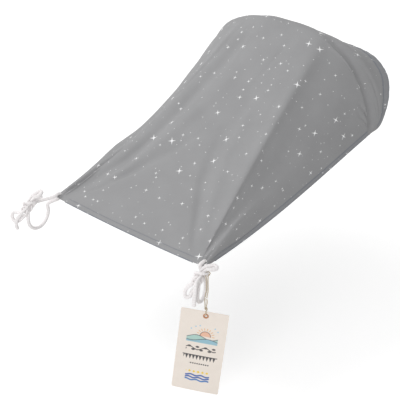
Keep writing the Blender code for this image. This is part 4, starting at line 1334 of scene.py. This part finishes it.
class SHADE_OT_cloth(bpy.types.Operator):
    """Makes the stretched cloth with its turned hems, the elastic in its casing and all the stitches"""
    bl_idname = "shade.cloth"
    bl_label = "Cloth"

    def execute(self, context):
        settings = context.scene.shade_cloth
        cotton = cotton_material("sparkle_cotton", tuple(settings.colour), tuple(settings.print_colour),
                                 tuple(settings.thread_and_seam_shade_colour))
        cloth = new_piece("shade_cotton", make_cloth(settings), cotton, "shade",
                          ("shade_cloth", "front_hem", "left_hem", "right_hem", "rear_casing"))
        thicken(cloth, VISIBLE_THICKNESS)
        drill_holes(cloth, HOLE_RADIUS, HOLE_CUT, 32, [tie_hole_place(corner) for corner in (-1, 1)])
        self.make_elastic()
        self.make_stitches(settings)
        return {"FINISHED"}

    def make_elastic(self):
        columns, shares = 240, (0.25, 0.40, 0.60, 0.75)
        u = np.linspace(-0.93, 0.93, columns)
        casing = 2.0 - casing_line(u)
        rows = [cloth_point(u, 2.0 - casing * part, CASING_RADIUS) for part in shares]
        places = [flat_place(u, 2.0 - casing * part) for part in shares]
        mesh = sheet_mesh("casing_elastic", np.array(rows))
        set_layer(mesh, "flat", "FLOAT_VECTOR", places)
        mesh.shade_smooth()
        knitted = elastic_material("knitted_elastic", (0.75, 0.75, 0.73))
        elastic = new_piece("casing_elastic", mesh, knitted, "shade", ("rear_elastic",))
        thicken(elastic, ELASTIC_VISIBLE_THICKNESS)

    def make_stitches(self, settings):
        """Lockstitch along each hem and the casing."""
        lines = []
        u = np.linspace(-0.92, 0.92, 500) * SHOULDER
        lines.append((u, np.full_like(u, STITCH_SHARE * HEM_WIDTH / RIM_DISTANCE)))
        v = np.linspace(0.075, 0.975, 600)
        for sign in (-1.0, 1.0):
            lines.append((sign * (1.0 - STITCH_SHARE * (1.0 - hem_line(sign, v))), v))
        u = np.linspace(-0.97, 0.97, 900)
        lines.append((u, 2.0 - CASING_STITCH_SHARE * (2.0 - casing_line(u))))
        points, faces = [], []
        for line in lines:
            places = cloth_point(*line, -VISIBLE_THICKNESS / 2.0)
            more, joined = stitch_run(places, plain_normal(*line), settings.stitch_pitch)
            faces.extend([len(points) + index for index in face] for face in joined)
            points.extend(more)
        mesh = mesh_from("hem_stitches", points, faces)
        mesh.shade_smooth()
        thread = thread_material("sewing_thread", tuple(settings.thread_and_seam_shade_colour))
        new_piece("hem_stitches", mesh, thread, "shade")


class SHADE_OT_string(bpy.types.Operator):
    """Makes the twine that holds the tag"""
    bl_idname = "shade.string"
    bl_label = "Tag string"

    def execute(self, context):
        settings = context.scene.shade_cords
        material = rope_material("laid_twine", tuple(settings.twine_colour), 0.6, 5200.0)
        drop = [SWING + Vector(place) for place in hanging_string()]
        loop = [TURNED @ Vector(place) + EYE for place in eyelet_loop()]
        parts = (
            ("string_round_tie", "tag_string", "shade", round_the_tie(), None),
            ("string_hanging", "tag_string_drop", "string_drop", drop, KNOT[2]),
            ("string_through_eyelet", "tag_string_loop", "string_loop", loop, EYE[2]),
        )
        for name, node, body, route, pinched in parts:
            line = smooth_line(route, STRING_STEP)
            travelled = travelled_along(line)
            from_end = np.minimum(travelled, travelled[-1] - travelled)
            radii = np.interp(from_end, (0.0, 0.0014), (STRING_END_RADIUS, STRING_RADIUS))
            if pinched is not None:
                away = np.abs(line[:, 2] - pinched)
                held = np.interp(away, (0.0036, 0.0051), (KNOT_STRING_RADIUS, STRING_RADIUS))
                radii = np.minimum(radii, held)
            mesh = rope_mesh(name, line, radii, twisted(2, TWIST_PITCH, TWIST_RELIEF), 16, False)
            new_piece(name, mesh, material, body, (node,))
        return {"FINISHED"}


def paint(ink, amount, colour):
    """Lays a colour over the card where amount is one."""
    amount = clip(amount)[..., None]
    return ink * (1.0 - amount) + np.array(colour) * amount


def card_ink(x, y, colour):
    """The card's print: a sun over hills, a garland, a row of pennants, small beads, waves and diamonds."""
    soft = 0.00035
    ink = np.ones(x.shape + (3,)) * np.array(colour)
    dark = (0.055, 0.055, 0.065)

    def inside(distance):
        return clip(0.5 - distance / soft)

    def within(half):
        return inside(np.abs(x + 0.001) - half)

    def cells(width):
        """Place within the nearest of a row of cells, in metres from its middle, and its number."""
        number = np.floor(x / width + 0.5)
        return x - number * width, number

    sun_x, sun_y, sun = 0.004, -0.046, 0.0100
    away = np.hypot(x - sun_x, y - sun_y)
    turn = np.arctan2(y - sun_y, x - sun_x) / (math.pi / 9.0) + 0.5
    above = inside(sun_y - 0.001 - y)
    rays = inside(np.abs(turn % 1.0 - 0.5) * away * math.pi / 9.0 - 0.0009)
    ink = paint(ink, rays * inside(np.abs(away - 0.0152) - 0.0026) * above, (0.82, 0.50, 0.26))
    ink = paint(ink, inside(away - sun) * above, (0.84, 0.50, 0.36))
    ink = paint(ink, inside(np.abs(away - sun) - 0.0008) * above, (0.30, 0.17, 0.13))
    for low, swing, shift, stretch, hue in ((0.004, 0.0040, 0.012, 0.0085, (0.42, 0.63, 0.58)),
                                            (0.010, 0.0034, -0.010, 0.0105, (0.30, 0.52, 0.62))):
        hill = sun_y - low + swing * np.cos((x + shift) / stretch)
        ink = paint(ink, inside(y - hill) * inside(sun_y - 0.017 - y) * within(0.030), hue)
        ink = paint(ink, inside(np.abs(y - hill) - 0.0008) * within(0.030), (0.10, 0.14, 0.16))
    for dot_x, dot_y in ((-0.024, -0.033), (-0.016, -0.027), (0.027, -0.032), (0.021, -0.026),
                         (-0.008, -0.024)):
        ink = paint(ink, inside(np.hypot(x - dot_x, y - dot_y) - 0.0014), (0.32, 0.60, 0.78))
    garland = -0.077 + 0.0030 * np.sin(x / 0.0050)
    ink = paint(ink, inside(np.abs(y - garland) - 0.0011) * within(0.029), dark)
    away, number = cells(0.0079)
    rise = np.where(number % 2 > 0, 0.0034, -0.0034)
    ink = paint(ink, inside(np.hypot(away / 1.7, y + 0.077 - rise) - 0.0021) * within(0.029), dark)
    away = cells(0.0066)[0]
    drop = -0.0935 - y
    flags = inside(np.abs(away) - 0.0031 * (1.0 - drop / 0.0105)) * inside(-drop) * inside(drop - 0.0105)
    ink = paint(ink, flags * within(0.0315), dark)
    ink = paint(ink, inside(np.abs(y + 0.0935) - 0.0010) * within(0.0335), dark)
    away = cells(0.0042)[0]
    ink = paint(ink, inside(np.hypot(away, y + 0.1125) - 0.0016) * within(0.0190), dark)
    for row, blue in ((-0.1400, (0.03, 0.12, 0.42)), (-0.1455, (0.03, 0.12, 0.42)),
                      (-0.1510, (0.05, 0.20, 0.52))):
        wave = row + 0.0012 * np.sin(x / 0.0032 + row * 900.0)
        ink = paint(ink, inside(np.abs(y - wave) - 0.0017) * within(0.0235), blue)
    away = cells(0.0085)[0]
    ink = paint(ink, inside(np.abs(away) + np.abs(y + 0.1315) - 0.0030) * within(0.0230), (0.88, 0.62, 0.03))
    return ink


class SHADE_OT_tag(bpy.types.Operator):
    """Makes the swing tag's card with its print, and the copper eyelet"""
    bl_idname = "shade.tag"
    bl_label = "Tag"

    def execute(self, context):
        settings = context.scene.shade_tag
        self.make_card(tuple(settings.card_colour))
        self.make_eyelet(tuple(settings.eyelet_colour))
        return {"FINISHED"}

    def make_card(self, colour):
        """A card with rounded corners and a hole, sagging very slightly out of flat."""
        columns, rows = 144, 300
        x = np.linspace(-0.5, 0.5, columns + 1) * CARD_WIDTH - EYELET_OFFSET
        y = np.linspace(-1.0, 0.0, rows + 1) * CARD_HEIGHT + EYELET_INSET
        x, y = np.meshgrid(x, y)
        side = CARD_WIDTH / 2.0 - CARD_CORNER
        tall = CARD_HEIGHT / 2.0 - CARD_CORNER
        middle_x, middle_y = -EYELET_OFFSET, EYELET_INSET - CARD_HEIGHT / 2.0
        over_x = np.clip(np.abs(x - middle_x) - side, 0, None)
        over_y = np.clip(np.abs(y - middle_y) - tall, 0, None)
        shrink = np.where((over_x > 0) & (over_y > 0),
                          np.maximum(over_x, over_y) / np.maximum(np.hypot(over_x, over_y), 1e-9), 1.0)
        x = middle_x + np.sign(x - middle_x) * (np.minimum(np.abs(x - middle_x), side) + over_x * shrink)
        y = middle_y + np.sign(y - middle_y) * (np.minimum(np.abs(y - middle_y), tall) + over_y * shrink)

        def bow(x, y):
            down = clip((-y - CARD_BOW_START) / CARD_BOW_LENGTH)
            share = x / CARD_BOW_SIDE
            middle, skew, sides = CARD_BOW
            return middle * down ** 2 + skew * down * share - sides * down * share ** 2

        points = np.stack([x, y, bow(x, y)], -1)
        mesh = sheet_mesh("swing_tag", card_place(points))
        ink = np.concatenate([card_ink(x, y, colour), np.ones(x.shape + (1,))], -1)
        set_layer(mesh, "ink", "FLOAT_COLOR", ink)
        to_edge = np.minimum(CARD_WIDTH / 2.0 - np.abs(x - middle_x),
                             CARD_HEIGHT / 2.0 - np.abs(y - middle_y))
        set_layer(mesh, "edge", "FLOAT", clip(1.0 - to_edge / 0.0012))
        card = new_piece("swing_tag", mesh, card_material("printed_card"), "tag", ("tag_card",))
        thicken(card, CARD_VISIBLE_THICKNESS)
        drill_holes(card, EYELET_BARREL + 0.0001, EYELET_CUT, 48,
                    [Matrix.Translation(EYE) @ Matrix(CARD_FRAME.tolist()).to_4x4()])
        count = len(card.data.vertices)
        placed = np.empty(count * 3)
        card.data.vertices.foreach_get("co", placed)
        own = (placed.reshape(count, 3) - np.array(EYE)) @ CARD_FRAME
        layer = card.data.attributes["ink"]
        ink = np.empty(count * 4, np.float32)
        layer.data.foreach_get("color", ink)
        ink = ink.reshape(count, 4)
        ink[own[:, 2] < bow(own[:, 0], own[:, 1])] = (*colour, 1.0)
        layer.data.foreach_set("color", ink.ravel())

    def make_eyelet(self, colour):
        """A turned ring with a rolled flange on each face."""
        face = CARD_THICKNESS / 2.0 + 0.00012
        rim = CARD_THICKNESS / 2.0 + GAP + EYELET_LIP
        bore, flange, barrel = EYELET_BORE, EYELET_FLANGE, EYELET_BARREL
        upper = [(bore, 0.0), (bore, face)]
        for step in range(7):
            angle = math.pi - step * math.pi / 12.0
            upper.append((bore + 0.0007 + 0.0007 * math.cos(angle), face + (rim - face) * math.sin(angle)))
        for step in range(7):
            angle = math.pi / 2.0 - step * math.pi / 12.0
            upper.append((flange - 0.0013 + 0.0013 * math.cos(angle), face + (rim - face) * math.sin(angle)))
        upper += [(flange - 0.0002, face), (barrel, face), (barrel, 0.0)]
        profile = upper[:-1] + [(reach, -out) for reach, out in reversed(upper[1:-1])]
        angles = np.radians(np.arange(0, 360, 5))[:, None]
        reach, out = np.array(profile).T
        points = np.stack([reach * np.cos(angles), reach * np.sin(angles), out + 0.0 * angles], -1)
        index = np.arange(points[..., 0].size).reshape(points.shape[:2])
        ahead, beside = np.roll(index, -1, axis=0), np.roll(index, -1, axis=1)
        faces = np.stack([index, ahead, np.roll(ahead, -1, axis=1), beside], -1).reshape(-1, 4).tolist()
        mesh = mesh_from("copper_eyelet", card_place(points.reshape(-1, 3)), faces)
        mesh.shade_smooth()
        mesh.set_sharp_from_angle(angle=math.radians(50))
        copper = copper_material("rubbed_copper", colour)
        new_piece("copper_eyelet", mesh, copper, "tag", ("tag_eyelet",))


class SHADE_PT_panel(bpy.types.Panel):
    """Lists the settings and the pieces"""
    bl_idname = "SHADE_PT_panel"
    bl_label = "Sun shade"
    bl_space_type = "VIEW_3D"
    bl_region_type = "UI"
    bl_category = "Sun shade"

    def draw(self, context):
        for name, group in GROUPS.items():
            box = self.layout.box()
            for setting in group.__annotations__:
                box.prop(getattr(context.scene, name), setting)
        for operator in OPERATORS:
            self.layout.operator(operator.bl_idname)


GROUPS = {"shade_cloth": ClothSettings, "shade_cords": CordSettings, "shade_tag": TagSettings,
          "shade_stage": StageSettings}
OPERATORS = (SHADE_OT_stage, SHADE_OT_ties, SHADE_OT_cloth, SHADE_OT_string, SHADE_OT_tag)
CLASSES = tuple(GROUPS.values()) + OPERATORS + (SHADE_PT_panel,)


def register():
    for made in CLASSES:
        bpy.utils.register_class(made)
    for name, group in GROUPS.items():
        setattr(bpy.types.Scene, name, bpy.props.PointerProperty(type=group))


def unregister():
    for name in GROUPS:
        delattr(bpy.types.Scene, name)
    for made in reversed(CLASSES):
        bpy.utils.unregister_class(made)


def main():
    register()
    for operator in OPERATORS:
        group, name = operator.bl_idname.split(".")
        getattr(getattr(bpy.ops, group), name)()


if __name__ == "__main__":
    main()
